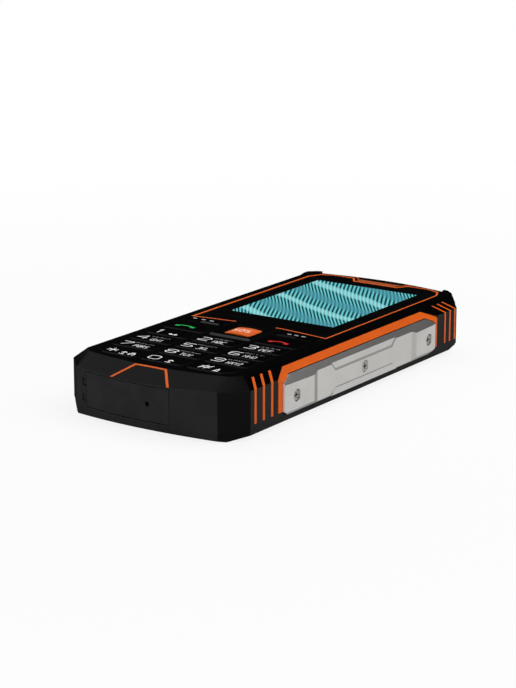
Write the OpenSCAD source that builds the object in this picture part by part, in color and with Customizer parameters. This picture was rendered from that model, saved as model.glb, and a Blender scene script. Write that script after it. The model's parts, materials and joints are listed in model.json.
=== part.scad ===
// Rugged feature phone lying on its back: front face up (+Z), earpiece end towards +Y, in millimetres.

/* [Body] */
// Width across the side walls
body_w = 61.4; // [58:0.1:66]
// Length over the crowns of the bowed ends
body_l = 132.5; // [124:0.5:144]
// Height of the front face above the rear face
body_h = 17.5; // [17.3:0.1:19]
// Plan radius of the bowed ends
end_r = 89.5; // [85:0.5:110]
// Length each bottom corner takes off a side wall
corner_bottom = 10; // [9.4:0.1:10.6]
// Length each top corner takes off a side wall
corner_top = 8.9; // [8.4:0.1:9.4]
// Width each corner takes off an end
corner_in = 6.4; // [6:0.1:6.8]
// Width of the sloped shoulder along each side
slope_w = 3.8; // [3.4:0.1:4]
// Drop of the sloped shoulder along each side
slope_h = 3.15; // [2.9:0.05:3.4]
// Run of the bevel at the bottom end
bottom_run = 6.2; // [5.6:0.1:6.4]
// Drop of the bevel at the bottom end
bottom_drop = 3.35; // [3:0.05:3.6]
// Run of the bevel at the top end
top_run = 1.5; // [1:0.1:1.6]
// Drop of the bevel at the top end
top_drop = 1.8; // [1.4:0.1:2.2]
// Plan radius of the bevel edges on the front face
bevel_r = 101.8; // [96:0.2:120]
// Run of the sloped facet at each bottom corner
facet_run = 4.1; // [3.6:0.1:4.2]
// Rise of the bumper lips at the top corners
lip_rise = 0.4; // [0.2:0.05:0.6]
// Width of the bumper lips
lip_w = 1.6; // [1.2:0.1:1.8]
// Distance from the side wall at which the bumper lips start
lip_side = 7.9; // [6.8:0.1:8.2]

/* [Shells] */
// Side wall thickness
wall = 2.2; // [2:0.05:2.3]
// Front wall thickness
front_wall = 2; // [1.8:0.05:2.2]
// End wall thickness at the crown
end_wall = 5.5; // [5.4:0.1:5.8]
// Height of the seam between the housings
seam_z = 3; // [2.9:0.05:3.2]
// Thickness of the rear plate
rear_t = 2.6; // [2.5:0.05:2.7]
// Setback of the rear housing from the front housing
rear_inset = 0.25; // [0.1:0.05:0.4]
// Run of the bevel under each side
rear_side_run = 5; // [4.6:0.1:5.2]
// Rise of the bevel under each side
rear_side_rise = 1.6; // [1.3:0.05:1.8]
// Run of the bevel under each end
rear_end_run = 6; // [5:0.1:7]
// Rise of the bevel under each end
rear_end_rise = 1.1; // [0.8:0.05:1.3]
// Run of the facet under each top corner
rear_corner_run = 8; // [7:0.1:8.4]
// Rise of the facet under each top corner
rear_corner_rise = 2.6; // [2.2:0.05:2.7]
// Height of the locating lip of the rear housing
tongue_h = 1.2; // [0.8:0.1:1.4]
// Thickness of the locating lip
tongue_t = 1; // [0.8:0.1:1.2]
// Clearance round parts that drop into a pocket
fit = 0.15; // [0.1:0.05:0.25]
// Width of the seal between the housings
seal_w = 0.8; // [0.6:0.05:0.9]
// Depth of the seal between the housings
seal_t = 0.45; // [0.3:0.05:0.6]
// Distance of that seal from the inner wall
seal_in = 0.5; // [0.4:0.05:0.6]

/* [Screws] */
// Shank radius of every screw
shank_r = 0.95; // [0.8:0.05:1]
// Clearance round a shank
shank_clear = 0.1; // [0.05:0.05:0.15]
// Head radius of the rear screws
head_r = 1.9; // [1.7:0.05:2]
// Head height of the housing screws
head_h = 0.9; // [0.7:0.05:1]
// Depth of the housing screw heads below the rear face
head_deep = 1; // [0.95:0.05:1.1]
// Head height of the cover screws
cover_head_h = 0.75; // [0.6:0.05:0.8]
// Setback of the screw heads from the surface
head_in = 0.1; // [0.05:0.05:0.2]
// Length of the housing screws
screw_l = 9; // [7:0.5:10]
// Length of the cover screws
cover_screw_l = 5; // [4:0.1:5.2]
// Distance of the housing screws from the side walls
post_in = 4.1; // [3.9:0.05:4.3]
// Outer radius of the screw posts
post_r = 2; // [1.8:0.05:2.05]
// Distance of the bottom pair of posts from the bottom end
post_low_in = 14.75; // [13.5:0.25:16]
// Distance of the middle pair of posts from the top end
post_mid_in = 45.75; // [42.5:0.25:47]
// Distance of the top pair of posts from the top end
post_high_in = 15.75; // [15.25:0.25:16.75]
// Width of the cross recess in a screw head
recess_w = 0.5; // [0.4:0.05:0.6]
// Depth of the cross recess in a screw head
recess_d = 0.4; // [0.3:0.05:0.45]

/* [Display] */
// Border of the lens beside the picture
screen_side = 5.04; // [4.6:0.02:5.4]
// Border of the lens below the picture
screen_low_in = 11.94; // [11.5:0.02:13]
// Border of the lens above the picture
screen_top_in = 8.25; // [8:0.05:9]
// Border of the panel beside the picture
panel_side = 1.4; // [1:0.1:1.8]
// Border of the panel past the picture ends
panel_end = 1.8; // [1.4:0.1:2]
// Thickness of the display panel
panel_t = 1.4; // [1.2:0.05:1.6]
// Gap between the panel and the lens
panel_gap = 0.3; // [0.2:0.05:0.4]
// Border of the backlight past the panel
light_edge = 0.4; // [0.2:0.05:0.5]
// Gap between the backlight and the board
light_gap = 0.1; // [0.05:0.05:0.2]
// Border of the front face beside the lens
lens_side = 3.5; // [3.3:0.05:3.8]
// Thickness of the lens
lens_t = 1; // [0.8:0.05:1.1]
// Thickness of the lens tape
tape_t = 0.2; // [0.15:0.05:0.3]
// Setback of the lens from the front face
lens_in = 0.1; // [0:0.05:0.15]
// Gap round the lens
lens_clear = 0.1; // [0.05:0.05:0.15]
// Gap between the soft keys and the lens
lens_gap = 2.1; // [2:0.05:2.5]
// Rise of the bottom edge towards the middle
lens_rise = 2.1; // [1.6:0.1:2.4]
// Half width of the flat middle of the bottom edge
lens_mid = 7; // [6.4:0.1:8]
// Distance of the lens from the crown of the top end
lens_top_in = 4.25; // [4.15:0.05:4.45]
// Width of each top corner cut
lens_cut_w = 5.9; // [5.4:0.1:6.4]
// Length of each top corner cut
lens_cut_l = 5.6; // [5.2:0.1:6]
// Width of the knee in each top corner cut
lens_knee_w = 1.9; // [1.7:0.05:2.1]
// Length of the knee in each top corner cut
lens_knee_l = 3.9; // [3.7:0.05:4.1]
// Half width of the earpiece notch at the top
notch_wide = 10.4; // [10.2:0.1:10.8]
// Half width of the earpiece notch at its floor
notch_narrow = 8.2; // [8:0.1:8.4]
// Depth of the earpiece notch
notch_d = 3.6; // [3.4:0.05:3.8]
// Shift of the break in the orange line off the middle
line_off = -2.2; // [-2.6:0.1:-1.8]
// Width of the orange line round the lens
line_w = 0.65; // [0.5:0.05:0.8]
// Depth of the orange line
line_t = 0.5; // [0.4:0.05:0.6]

/* [Earpiece] */
// Half width of the mesh at its lower edge
mesh_narrow = 6.9; // [6.6:0.05:7]
// Half width of the mesh at its upper edge
mesh_wide = 8.6; // [8.2:0.05:8.8]
// Length of the mesh
mesh_l = 3.2; // [3:0.05:3.3]
// Thickness of the mesh
mesh_t = 0.7; // [0.5:0.05:0.8]
// Setback of the mesh from the front face
mesh_in = 0.15; // [0.1:0.05:0.2]
// Half width of the sound slot
slot_half = 5; // [4:0.1:5.5]
// Length of the sound slot
slot_l = 0.8; // [0.6:0.05:0.9]
// Width of the earpiece capsule
capsule_w = 13; // [12:0.1:14]
// Length of the earpiece capsule
capsule_l = 4.1; // [3.8:0.05:4.2]
// Thickness of the earpiece capsule
capsule_t = 2; // [1.6:0.05:2.1]

/* [Keys] */
// Border of the front face beside the keys
key_side = 3.4; // [3.2:0.05:3.8]
// Length of a key
key_l = 6.5; // [6.3:0.05:6.6]
// Gap between the key columns
key_gap = 1.6; // [1.5:0.05:2]
// Gap between the key rows
row_gap = 1.6; // [1.5:0.05:1.7]
// Border of the front face below the keys
keys_edge = 4; // [3.8:0.05:4.4]
// Rise of the keys above the front face
key_rise = 0.3; // [0.2:0.02:0.36]
// Bevel round the top of a key
key_bevel = 0.28; // [0.15:0.01:0.3]
// Cut of the lower corners of a key
key_cut = 0.95; // [0.6:0.05:1.2]
// Cut of the two outer corners of the bottom row
corner_cut = 3; // [2:0.1:3.2]
// Gap round a key
key_clear = 0.18; // [0.14:0.01:0.22]
// Travel of a key
key_travel = 0.35; // [0.3:0.01:0.4]
// Width of the flange that holds a key in
flange_w = 0.5; // [0.4:0.05:0.55]
// Thickness of that flange
flange_t = 0.7; // [0.6:0.05:0.8]
// Gap over the flange
flange_gap = 0.1; // [0.06:0.02:0.14]
// Gap left under a pressed key
press_gap = 0.12; // [0.08:0.02:0.16]
// Length of the call and end keys
call_l = 6.9; // [6.6:0.05:7.4]
// Gap between the call keys and the soft keys
soft_gap = 3.1; // [2.6:0.05:3.4]
// Length of the soft keys on the outer side
soft_outer = 4.4; // [4.1:0.05:4.5]
// Length of the soft keys on the inner side
soft_inner = 5.8; // [5.4:0.05:6]
// Thickness of the key mat
mat_t = 0.8; // [0.7:0.05:0.9]
// Thickness of the dome sheet
sheet_t = 0.2; // [0.15:0.05:0.25]
// Radius of a dome
dome_r = 2.2; // [1.8:0.1:2.4]
// Height of a dome
dome_h = 0.25; // [0.2:0.01:0.28]
// Gap round a dome
dome_clear = 0.3; // [0.2:0.05:0.4]

/* [Navigation] */
// Gap between the ring and the keys beside it
nav_gap = 1.4; // [1.3:0.05:1.6]
// Gap between the ring and the key below it
nav_up = 2.45; // [2.2:0.05:2.6]
// Corner cut of the ring
nav_cut = 0.9; // [0.8:0.05:1.2]
// Rise of the ring above the front face
nav_rise = 0.5; // [0.4:0.02:0.6]
// Bevel round the ring
nav_bevel = 0.7; // [0.5:0.05:0.8]
// Depth of the dish in the ring round the centre key
nav_dish = 0.45; // [0.35:0.05:0.5]
// Width of the flat rim outside the dish
nav_rim = 0.8; // [0.6:0.05:1]
// Gap round the ring
nav_clear = 0.25; // [0.22:0.01:0.28]
// Extra room over the flange of the ring
nav_relief = 0.4; // [0.36:0.02:0.44]
// Extra room under the ring
nav_drop = 0.4; // [0.36:0.02:0.42]
// Width of the centre key
centre_w = 8.6; // [8.4:0.05:8.8]
// Length of the centre key
centre_l = 7.4; // [7.2:0.05:7.6]
// Corner cut of the centre key
centre_cut = 0.45; // [0.3:0.05:0.6]
// Rise of the centre key above the front face
centre_rise = 0.4; // [0.35:0.05:0.5]
// Crown radius of the centre key
crown_r = 30; // [26:1:40]
// Gap round the centre key
centre_clear = 0.3; // [0.28:0.01:0.34]
// Thickness of the web under the ring
web_t = 0.2; // [0.16:0.02:0.22]
// Height of the rocking ribs on the web
rib_h = 0.24; // [0.22:0.01:0.26]
// Width of the rocking ribs
rib_w = 0.8; // [0.6:0.05:1]
// Setback of the web from the edge of the ring
web_in = 1; // [0.9:0.05:1.1]
// Gap between the web and the centre key
web_gap = 0.6; // [0.5:0.05:0.7]

/* [Side plates] */
// Depth of the pocket for plate and trim
pocket_d = 1.3; // [1.2:0.05:1.4]
// Drop of the trim's upper edge below the front face
trim_drop = 1; // [0.9:0.05:1.1]
// Drop of the bend in the trim
trim_bend = 3.9; // [3.7:0.05:4.1]
// Reach of the trim past the side wall
trim_out = 0.2; // [0.1:0.05:0.3]
// Height of the trim's lower ends above the seam
trim_up = 1.65; // [1.4:0.05:1.9]
// Distance of the trim from the bottom end
trim_near_in = 23.35; // [23.1:0.05:23.6]
// Distance of the trim from the top end
trim_far_in = 21.3; // [21:0.05:21.5]
// Lean of the trim's near end on the slope
trim_lean_near = 6; // [5.6:0.1:6.2]
// Lean of the trim's far end on the slope
trim_lean_far = 6; // [5.6:0.1:6.2]
// Width of the trim band over the plate
band_w = 2.72; // [2.5:0.02:2.8]
// Gap between plate and trim
plate_seam = 0.12; // [0.08:0.02:0.16]
// Width of the trim past the near end of the plate
plate_near_in = 2.3; // [2.1:0.05:2.5]
// Width of the trim past the far end of the plate
plate_far_in = 1.95; // [1.8:0.05:2.1]
// Height of the plate's lower edge above the seam
plate_up = 0.4; // [0.3:0.02:0.5]
// Drop of the bend in the plate
plate_bend = 4.75; // [4.65:0.05:4.9]
// Reach of the plate face past the side wall
plate_out = 0.4; // [0.35:0.05:0.45]
// Extra reach of the raised ends where they meet the face
boss_out = 0.45; // [0.35:0.05:0.5]
// Extra reach of the raised ends at the plate ends
boss_end = 0.3; // [0.2:0.05:0.35]
// Length of the near raised end
boss_near = 15; // [14.5:0.1:15.5]
// Length of the far raised end
boss_far = 11.7; // [11.4:0.1:12]
// Length of the ramp off a raised end
boss_ramp = 2.2; // [1.8:0.1:2.6]
// Height of the bevel under the raised ends
boss_bevel = 0.9; // [0.7:0.05:1]
// Setback of the plate's lower edge under that bevel
boss_tuck = 0.15; // [0.1:0.05:0.2]
// Lean of the plate ends on the slope
plate_lean = 4; // [3.6:0.1:4.2]
// Length of the lower near corner cut
low_cut_near = 1.9; // [1.6:0.1:2.2]
// Length of the lower far corner cut
low_cut_far = 3.5; // [3.2:0.1:3.8]
// Height of the lower corner cuts
low_cut_h = 1.2; // [1:0.05:1.4]
// Depth of the sunk bar in the plate face
bar_in = 0.2; // [0.15:0.05:0.3]
// Upper edge of the bar below the front face
bar_top = 4.5; // [4.3:0.05:4.7]
// Lower edge of the bar below the front face
bar_low = 7.05; // [6.9:0.05:7.2]
// Half length of the bar at its upper edge
bar_long = 18.3; // [17.8:0.1:18.6]
// Half length of the bar at its lower edge
bar_short = 15.8; // [15.4:0.1:16.2]
// Width of the bevel along the bar's lower edge and ends
bar_bevel = 0.65; // [0.5:0.05:0.8]
// Distance of the bar past the middle of the plate
bar_off = 0.7; // [0.4:0.1:1]
// Reach of the foot step past the plate face
foot_out = 0.15; // [0.1:0.01:0.2]
// Height of the foot step
foot_h = 2.1; // [1.9:0.05:2.3]
// Head radius of the plate screws
plate_head_r = 1.65; // [1.5:0.05:1.75]
// Head height of the plate screws
plate_head_h = 0.7; // [0.6:0.02:0.74]
// Length of the plate screws
plate_screw_l = 3.6; // [3.2:0.1:4]
// Height of the plate screws above the seam
screw_up = 5.1; // [4.9:0.05:5.3]
// Distance of the near plate screw from the plate's end
screw_near_in = 6.3; // [6:0.1:6.6]
// Distance of the middle plate screw past the middle of the bar
screw_mid_off = 0.4; // [0.1:0.1:0.7]
// Distance of the far plate screw from the plate's end
screw_far_in = 3.9; // [3.7:0.1:4.2]
// Radius of the bosses behind the plate screws
plate_boss_r = 2.3; // [2:0.1:2.5]
// Length of the bosses behind the plate screws
plate_boss_l = 2.6; // [2.4:0.1:2.8]

/* [Stripes] */
// Width of a corner stripe at the bottom end
stripe_near_w = 1; // [0.9:0.05:1.2]
// Width of a corner stripe at the top end
stripe_far_w = 0.8; // [0.7:0.05:1]
// Distance of the first bottom stripe from the bottom end
stripe_near_in = 12.3; // [12.1:0.05:12.5]
// Spacing of the bottom stripes
stripe_near_step = 4.05; // [3.9:0.05:4.2]
// Distance of the first top stripe from the top end
stripe_far_in = 16.15; // [16:0.05:16.4]
// Spacing of the top stripes
stripe_far_step = 3.05; // [2.9:0.05:3.1]
// Height of the stripes' lower ends above the seam
stripe_up = 1.6; // [1.3:0.1:1.9]
// Drop of the stripes' upper ends
stripe_top = 0.8; // [0.7:0.05:0.9]
// Lean of the bottom stripes over the slope
lean_near = 2.7; // [2.3:0.1:3]
// Lean of the top stripes over the slope
lean_far = 3.4; // [3:0.1:3.6]
// Depth of the stripes
stripe_t = 0.7; // [0.5:0.05:0.8]
// Reach of the stripes past the wall
stripe_out = 0.08; // [0.05:0.01:0.12]
// Half length of the accent's upper run
accent_half = 5.2; // [4.8:0.1:5.6]
// Spread of the accent's legs
accent_spread = 4.8; // [4.4:0.1:5.2]
// Reach of the accent's legs along the bevel
accent_leg = 5.7; // [5.2:0.1:5.8]
// Width of the accent's legs
accent_w = 0.7; // [0.6:0.05:0.85]
// Width of the accent's upper run
accent_top = 0.45; // [0.4:0.05:0.55]
// Depth of the accent
accent_t = 0.6; // [0.5:0.05:0.7]
// Start of the accent past the bevel edge
accent_in = 0.3; // [0.3:0.05:0.4]
// Reach of the accent past the bevel
accent_out = 0.05; // [0.03:0.01:0.1]

/* [Port flap] */
// Distance of the flap's left end from the corner
flap_side = 4.4; // [4.2:0.05:4.6]
// Width of the flap
flap_w = 29.9; // [29.5:0.1:30.3]
// Height of the flap above the seam
flap_up = 0.6; // [0.5:0.05:0.7]
// Distance of the flap below the bevel
flap_top_in = 0.55; // [0.45:0.05:0.65]
// Thickness of the flap
flap_t = 1.6; // [1.5:0.02:1.7]
// Gap round the flap
flap_clear = 0.2; // [0.16:0.01:0.22]
// Distance of the hinge line past the flap's left end
hinge_in = 1; // [0.95:0.01:1.05]
// Depth of the hinge line under the surface
hinge_deep = 0.8; // [0.76:0.01:0.84]
// Radius of the hinge knuckles
knuckle_r = 0.65; // [0.6:0.01:0.68]
// Length of the hinge knuckles
knuckle_l = 2; // [1.8:0.05:2.2]
// Height of the lower knuckle above the flap's lower edge
knuckle_up = 2.5; // [2.3:0.1:2.8]
// Depth of the upper knuckle below the flap's upper edge
knuckle_down = 3; // [2.8:0.1:3.2]
// Gap round the knuckles
knuckle_clear = 0.12; // [0.1:0.01:0.15]
// Thickness of the straps to the knuckles
strap_t = 0.7; // [0.6:0.02:0.76]
// Radius of the speech hole through the flap
speech_r = 0.75; // [0.6:0.05:0.85]
// Distance of the speech hole from the flap's right end
speech_in = 7; // [6.6:0.05:7.2]
// Depth of the speech hole below the middle of the flap
speech_down = 0.1; // [0:0.05:0.3]

/* [Sockets] */
// Distance of the audio jack from the flap's left end
jack_in = 6.4; // [6.1:0.1:6.7]
// Width of the audio jack
jack_w = 6.2; // [6:0.05:6.3]
// Height of the audio jack
jack_h = 6; // [5.8:0.05:6.1]
// Length of the audio jack
jack_l = 13.4; // [13:0.1:14]
// Bore radius of the audio jack
jack_r = 1.8; // [1.75:0.01:1.85]
// Bore depth of the audio jack
jack_deep = 12; // [11.5:0.1:12.4]
// Gap between the flap and the sockets
socket_in = 0.35; // [0.3:0.05:0.5]
// Gap between the audio jack and the charging socket
usb_gap = 2.6; // [2.3:0.1:2.8]
// Width of the charging socket
usb_w = 7.6; // [7.4:0.05:7.7]
// Height of the charging socket
usb_h = 2.8; // [2.6:0.05:2.9]
// Length of the charging socket
usb_l = 8; // [7.6:0.1:8.4]
// Shell thickness of the charging socket
usb_t = 0.3; // [0.25:0.01:0.35]
// Depth of the charging socket's mouth
usb_deep = 5; // [4.6:0.1:5.4]
// Thickness of the charging socket's tongue
usb_tongue = 0.6; // [0.5:0.05:0.7]
// Gap round the sockets in their window
port_clear = 0.4; // [0.3:0.05:0.45]
// Radius of the microphone
mic_r = 2.2; // [2:0.05:2.3]
// Length of the microphone
mic_l = 1.7; // [1.5:0.05:1.8]
// Radius of the sound hole before the microphone
mic_hole_r = 0.5; // [0.4:0.05:0.6]

/* [Inside] */
// Thickness of the main board
board_t = 1; // [0.9:0.05:1.1]
// Distance of the main board from the side walls
board_side = 5.7; // [5.5:0.1:6.1]
// Distance of the main board from the bottom end
board_low_in = 7.05; // [6.95:0.05:7.65]
// Distance of the main board from the top end
board_high_in = 8.75; // [8.25:0.1:9.25]
// Corner cut of the main board
board_cut = 6; // [5.4:0.1:7]
// Gap round the posts in the board
board_clear = 0.5; // [0.3:0.05:0.6]
// Border of the cover beside the battery
battery_side = 2.8; // [2.6:0.05:3.2]
// Distance of the battery from the bottom end
battery_low_in = 24.25; // [24:0.05:24.6]
// Gap between the shield cans and the mid frame
deck_gap = 0.53; // [0.4:0.01:0.8]
// Distance of the battery from the top end
battery_high_in = 50.25; // [50:0.05:51]
// Gap round the battery
battery_gap = 0.4; // [0.3:0.05:0.5]
// Thickness of the battery cover
cover_t = 1.2; // [1.1:0.02:1.25]
// Gap between the cover and the housing screws' heads
cover_side = 0.9; // [0.8:0.05:1.1]
// Border of the cover past the battery
cover_end = 8; // [7.7:0.05:8.2]
// Corner cut of the battery cover
cover_cut = 3; // [2:0.1:4]
// Thickness of the cover seal
cover_seal_t = 0.3; // [0.25:0.01:0.34]
// Width of the cover seal
cover_seal_w = 1.1; // [0.9:0.05:1.2]
// Border between the battery window and the cover seal
cover_seal_in = 0.4; // [0.3:0.05:0.5]
// Distance of the cover screws from the cover's sides
cover_screw_side = 5.3; // [4.8:0.1:5.8]
// Distance of the cover screws from the cover's ends
cover_screw_end = 3.3; // [3.1:0.05:3.5]
// Radius of the bosses for the cover screws
cover_boss_r = 2.2; // [2:0.05:2.3]
// Height of the bosses for the cover screws
cover_boss_h = 6; // [5.6:0.1:6.4]
// Thickness of the mid frame plate
mid_t = 1; // [0.9:0.05:1.1]
// Thickness of the battery bay walls
bay_wall = 1.2; // [1:0.05:1.3]
// Gap between the audio jack and the mid frame
mid_gap = 0.3; // [0.2:0.05:0.4]
// Reach of the mid frame past the battery bay
mid_end = 10.6; // [10.2:0.1:11]
// Radius of the board supports
support_r = 1.6; // [1.4:0.05:1.8]
// Distance of the board supports in from the battery's sides
support_side = 0.4; // [0:0.1:0.6]
// Distance of the bottom board supports past the battery
support_low_out = 4.5; // [4.2:0.1:5]
// Distance of the top board supports past the battery
support_high_out = 8.4; // [8:0.1:8.8]
// Height of the shield cans
can_h = 1.6; // [1.4:0.05:1.7]
// Wall thickness of the shield cans
can_t = 0.2; // [0.15:0.01:0.25]
// Width of a shield can
can_w = 17; // [16.5:0.1:17.5]
// Length of a shield can
can_l = 21; // [20:0.1:22]
// Offset of the shield cans from the middle
can_x = 10.5; // [10.2:0.1:10.8]
// Distance of the shield cans past the battery's bottom end
can_up = 1.5; // [1:0.1:2]
// Height of the card sockets
card_h = 1.4; // [1.3:0.05:1.5]
// Width of a card socket
card_w = 16; // [15.5:0.1:16.4]
// Length of a card socket
card_l = 17; // [16.6:0.1:17.4]
// Gap between the shield cans and the card sockets
card_gap = 5; // [4:0.1:6]
// Height of the mouth of a card socket
card_mouth = 0.9; // [0.8:0.02:1]
// Width of the battery contact block
contact_w = 9; // [8.6:0.1:9.4]
// Length of the battery contact block
contact_l = 3.6; // [3.4:0.05:3.8]
// Reach of the contact block below the board
contact_h = 5.6; // [5.4:0.05:5.8]
// Width of a contact blade
blade_w = 1.2; // [1:0.05:1.4]
// Height of a contact blade
blade_h = 1; // [0.8:0.05:1.2]
// Spacing of the contact blades
blade_step = 2.8; // [2.6:0.05:3]
// Width of the loudspeaker
speaker_w = 26; // [25:0.1:27]
// Length of the loudspeaker
speaker_l = 14; // [13.6:0.1:14.4]
// Thickness of the loudspeaker
speaker_t = 4; // [3.6:0.05:4.4]
// Distance of the loudspeaker from the top end
speaker_in = 31.25; // [30.85:0.1:31.45]
// Width of a sound slot in the rear plate
rear_slot_w = 1.2; // [1:0.05:1.4]
// Length of a sound slot in the rear plate
rear_slot_l = 8; // [7:0.1:9]
// Spacing of the sound slots
rear_slot_step = 3; // [2.8:0.05:3.2]
// Number of sound slots
rear_slots = 6; // [4:1:7]
// Thickness of the speaker mesh
grille_t = 0.4; // [0.3:0.02:0.5]
// Setback of the speaker mesh
grille_in = 0.3; // [0.2:0.05:0.4]
// Border of the speaker mesh round the slots
grille_edge = 1.2; // [1:0.1:1.4]
// Radius of the vibration motor
motor_r = 2.2; // [2:0.05:2.3]
// Length of the vibration motor
motor_l = 9.5; // [9:0.1:10]
// Distance of the vibration motor from the screw posts
motor_side = 9.1; // [8.6:0.1:9.6]
// Distance of the vibration motor from the top end
motor_in = 19.25; // [18.85:0.1:19.65]
// Distance of the camera from the top end
camera_in = 15.25; // [15.05:0.1:15.45]
// Width of the camera base
camera_w = 8.4; // [8:0.1:8.6]
// Height of the camera base
camera_h = 4; // [3.6:0.1:4.4]
// Barrel radius of the camera
barrel_r = 3.1; // [2.9:0.05:3.2]
// Gap round the camera barrel
barrel_clear = 0.3; // [0.2:0.05:0.35]
// Radius of the camera window
window_r = 5.2; // [5:0.05:5.4]
// Thickness of the camera window
window_t = 1; // [0.8:0.05:1.1]
// Setback of the camera window
window_in = 0.3; // [0.2:0.05:0.4]
// Place of the flash lamp across the body
flash_x = 10.5; // [10.2:0.1:10.8]
// Radius of the flash lamp
flash_r = 1.8; // [1.6:0.05:1.9]
// Flange radius of the flash lamp
flash_flange_r = 2.6; // [2.4:0.05:2.7]
// Flange thickness of the flash lamp
flash_flange_t = 0.8; // [0.6:0.05:1]
// Width of the antenna carrier
antenna_w = 36; // [34:0.5:37]
// Length of the antenna carrier
antenna_l = 6.6; // [6.2:0.1:6.8]
// Gap between the antenna carrier and the audio jack
antenna_gap = 0.83; // [0.6:0.01:1]
// Distance of the antenna carrier from the bottom end
antenna_in = 11.65; // [11.45:0.1:11.85]

/* [View] */
// Piece to draw, or all

/* [Hidden] */
$fn = 64;

black = [0.06, 0.06, 0.065];
dark = [0.12, 0.12, 0.13];
rubber = [0.1, 0.1, 0.1];
orange = [0.88, 0.36, 0.06];
steel = [0.72, 0.72, 0.7];
bright = [0.8, 0.8, 0.78];
board_green = [0.08, 0.3, 0.16];
gold = [0.8, 0.62, 0.25];
glass = [0.05, 0.06, 0.07];
white = [0.9, 0.9, 0.88];

half_w = body_w / 2;
half_l = body_l / 2;
front_z = body_h;
corner_x = half_w - corner_in;
beyond = 20;
low_end = -half_l;
high_end = half_l;

// Screw posts and bumper lips, set in from the sides and the ends
post_x = half_w - post_in;
post_low = low_end + post_low_in;
post_mid = high_end - post_mid_in;
post_high = high_end - post_high_in;
lip_x = half_w - lip_side;

// Keys: three columns across the front face, rows counted up from the bottom bevel
key_w = (body_w - 2 * (slope_w + key_side + key_gap)) / 3;
pitch_x = key_w + key_gap;
pitch_y = key_l + row_gap;
keys_low = low_end + bottom_run + keys_edge;
function row_y(r) = keys_low + r * pitch_y;
soft_low = row_y(4) + call_l + soft_gap;
nav_w = 2 * (pitch_x - key_w / 2 - nav_gap);
nav_y = row_y(3) + key_l + nav_up + nav_w / 2;
web_w = nav_w - 2 * web_in;

// The lens and the picture take what the keys leave of the front face
lens_w = body_w - 2 * (slope_w + lens_side);
lens_low = soft_low + soft_outer + lens_gap;
lens_top = high_end - lens_top_in;
screen_w = lens_w - 2 * screen_side;
screen_low = lens_low + screen_low_in;
screen_high = lens_top - screen_top_in;
screen_l = screen_high - screen_low;
screen_y = (screen_low + screen_high) / 2;

// Side plates, their trims and the stripes: along the body, then as drops below the front face
trim_near = low_end + trim_near_in;
trim_far = high_end - trim_far_in;
plate_near = trim_near + plate_near_in;
plate_far = trim_far - plate_far_in;
bar_y = (plate_near + plate_far) / 2 + bar_off;
screw_near = plate_near + screw_near_in;
screw_mid = bar_y + screw_mid_off;
screw_far = plate_far - screw_far_in;
stripe_near = low_end + stripe_near_in;
stripe_far = high_end - stripe_far_in;
wall_drop = front_z - seam_z;
trim_low = wall_drop - trim_up;
plate_low = wall_drop - plate_up;
foot_top = plate_low - foot_h;
stripe_low = wall_drop - stripe_up;
plate_screw_z = seam_z + screw_up;

// Port flap between the corner, the seam and the bevel, with the sockets behind it
flap_left = flap_side - corner_x;
flap_right = flap_left + flap_w;
flap_low = seam_z + flap_up;
flap_high = front_z - bottom_drop - flap_top_in;
knuckle_low = flap_low + knuckle_up;
knuckle_high = flap_high - knuckle_down;
speech_x = flap_right - speech_in;
speech_z = (flap_low + flap_high) / 2 - speech_down;
jack_x = flap_left + jack_in;
usb_x = jack_x + jack_w / 2 + usb_gap + usb_w / 2;

// Battery, its cover and what lies round them
cover_w = 2 * (post_x - head_r - cover_side);
battery_w = cover_w - 2 * battery_side;
battery_low = low_end + battery_low_in;
battery_high = high_end - battery_high_in;
battery_l = battery_high - battery_low;
battery_y = (battery_low + battery_high) / 2;
cover_l = battery_l + 2 * cover_end;
cover_screw_x = cover_w / 2 - cover_screw_side;
cover_screw_y = cover_l / 2 - cover_screw_end;
support_x = battery_w / 2 - support_side;
support_low = battery_low - support_low_out;
support_high = battery_high + support_high_out;
can_y = battery_low + can_up + can_l / 2;
card_y = can_y + can_l / 2 + card_gap + card_l / 2;
board_half = half_w - board_side;
board_low = low_end + board_low_in;
board_high = high_end - board_high_in;
speaker_y = high_end - speaker_in;
motor_x = motor_side - post_x;
motor_y = high_end - motor_in;
camera_y = high_end - camera_in;
antenna_y = low_end + antenna_in;

function bow(x, r) = r - sqrt(r * r - x * x);
function unit(v) = v / norm(v);
function grown(p, d) = [
    for (i = [0 : len(p) - 1])
        let (
            n = len(p),
            u = unit(p[i] - p[(i + n - 1) % n]),
            v = unit(p[(i + 1) % n] - p[i]),
            a = [u[1], -u[0]],
            b = [v[1], -v[0]]
        )
        p[i] + (a + b) * d / (1 + a * b)
];
function moved(p, x, y) = [for (q = p) [q[0] + x, q[1] + y]];
function rect(w, l) = [[-w / 2, -l / 2], [w / 2, -l / 2], [w / 2, l / 2], [-w / 2, l / 2]];
function cut_rect(w, l, c) = [
    [-w / 2 + c, -l / 2], [w / 2 - c, -l / 2], [w / 2, -l / 2 + c], [w / 2, l / 2 - c],
    [w / 2 - c, l / 2], [-w / 2 + c, l / 2], [-w / 2, l / 2 - c], [-w / 2, -l / 2 + c]
];

// Corner lines in plan: width lost for each unit of length
corner_bow = bow(corner_x, end_r);
lean_bottom = corner_in / (corner_bottom - corner_bow);
lean_top = corner_in / (corner_top - corner_bow);
side_low = -half_l + corner_bottom;
side_high = half_l - corner_top;

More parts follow.
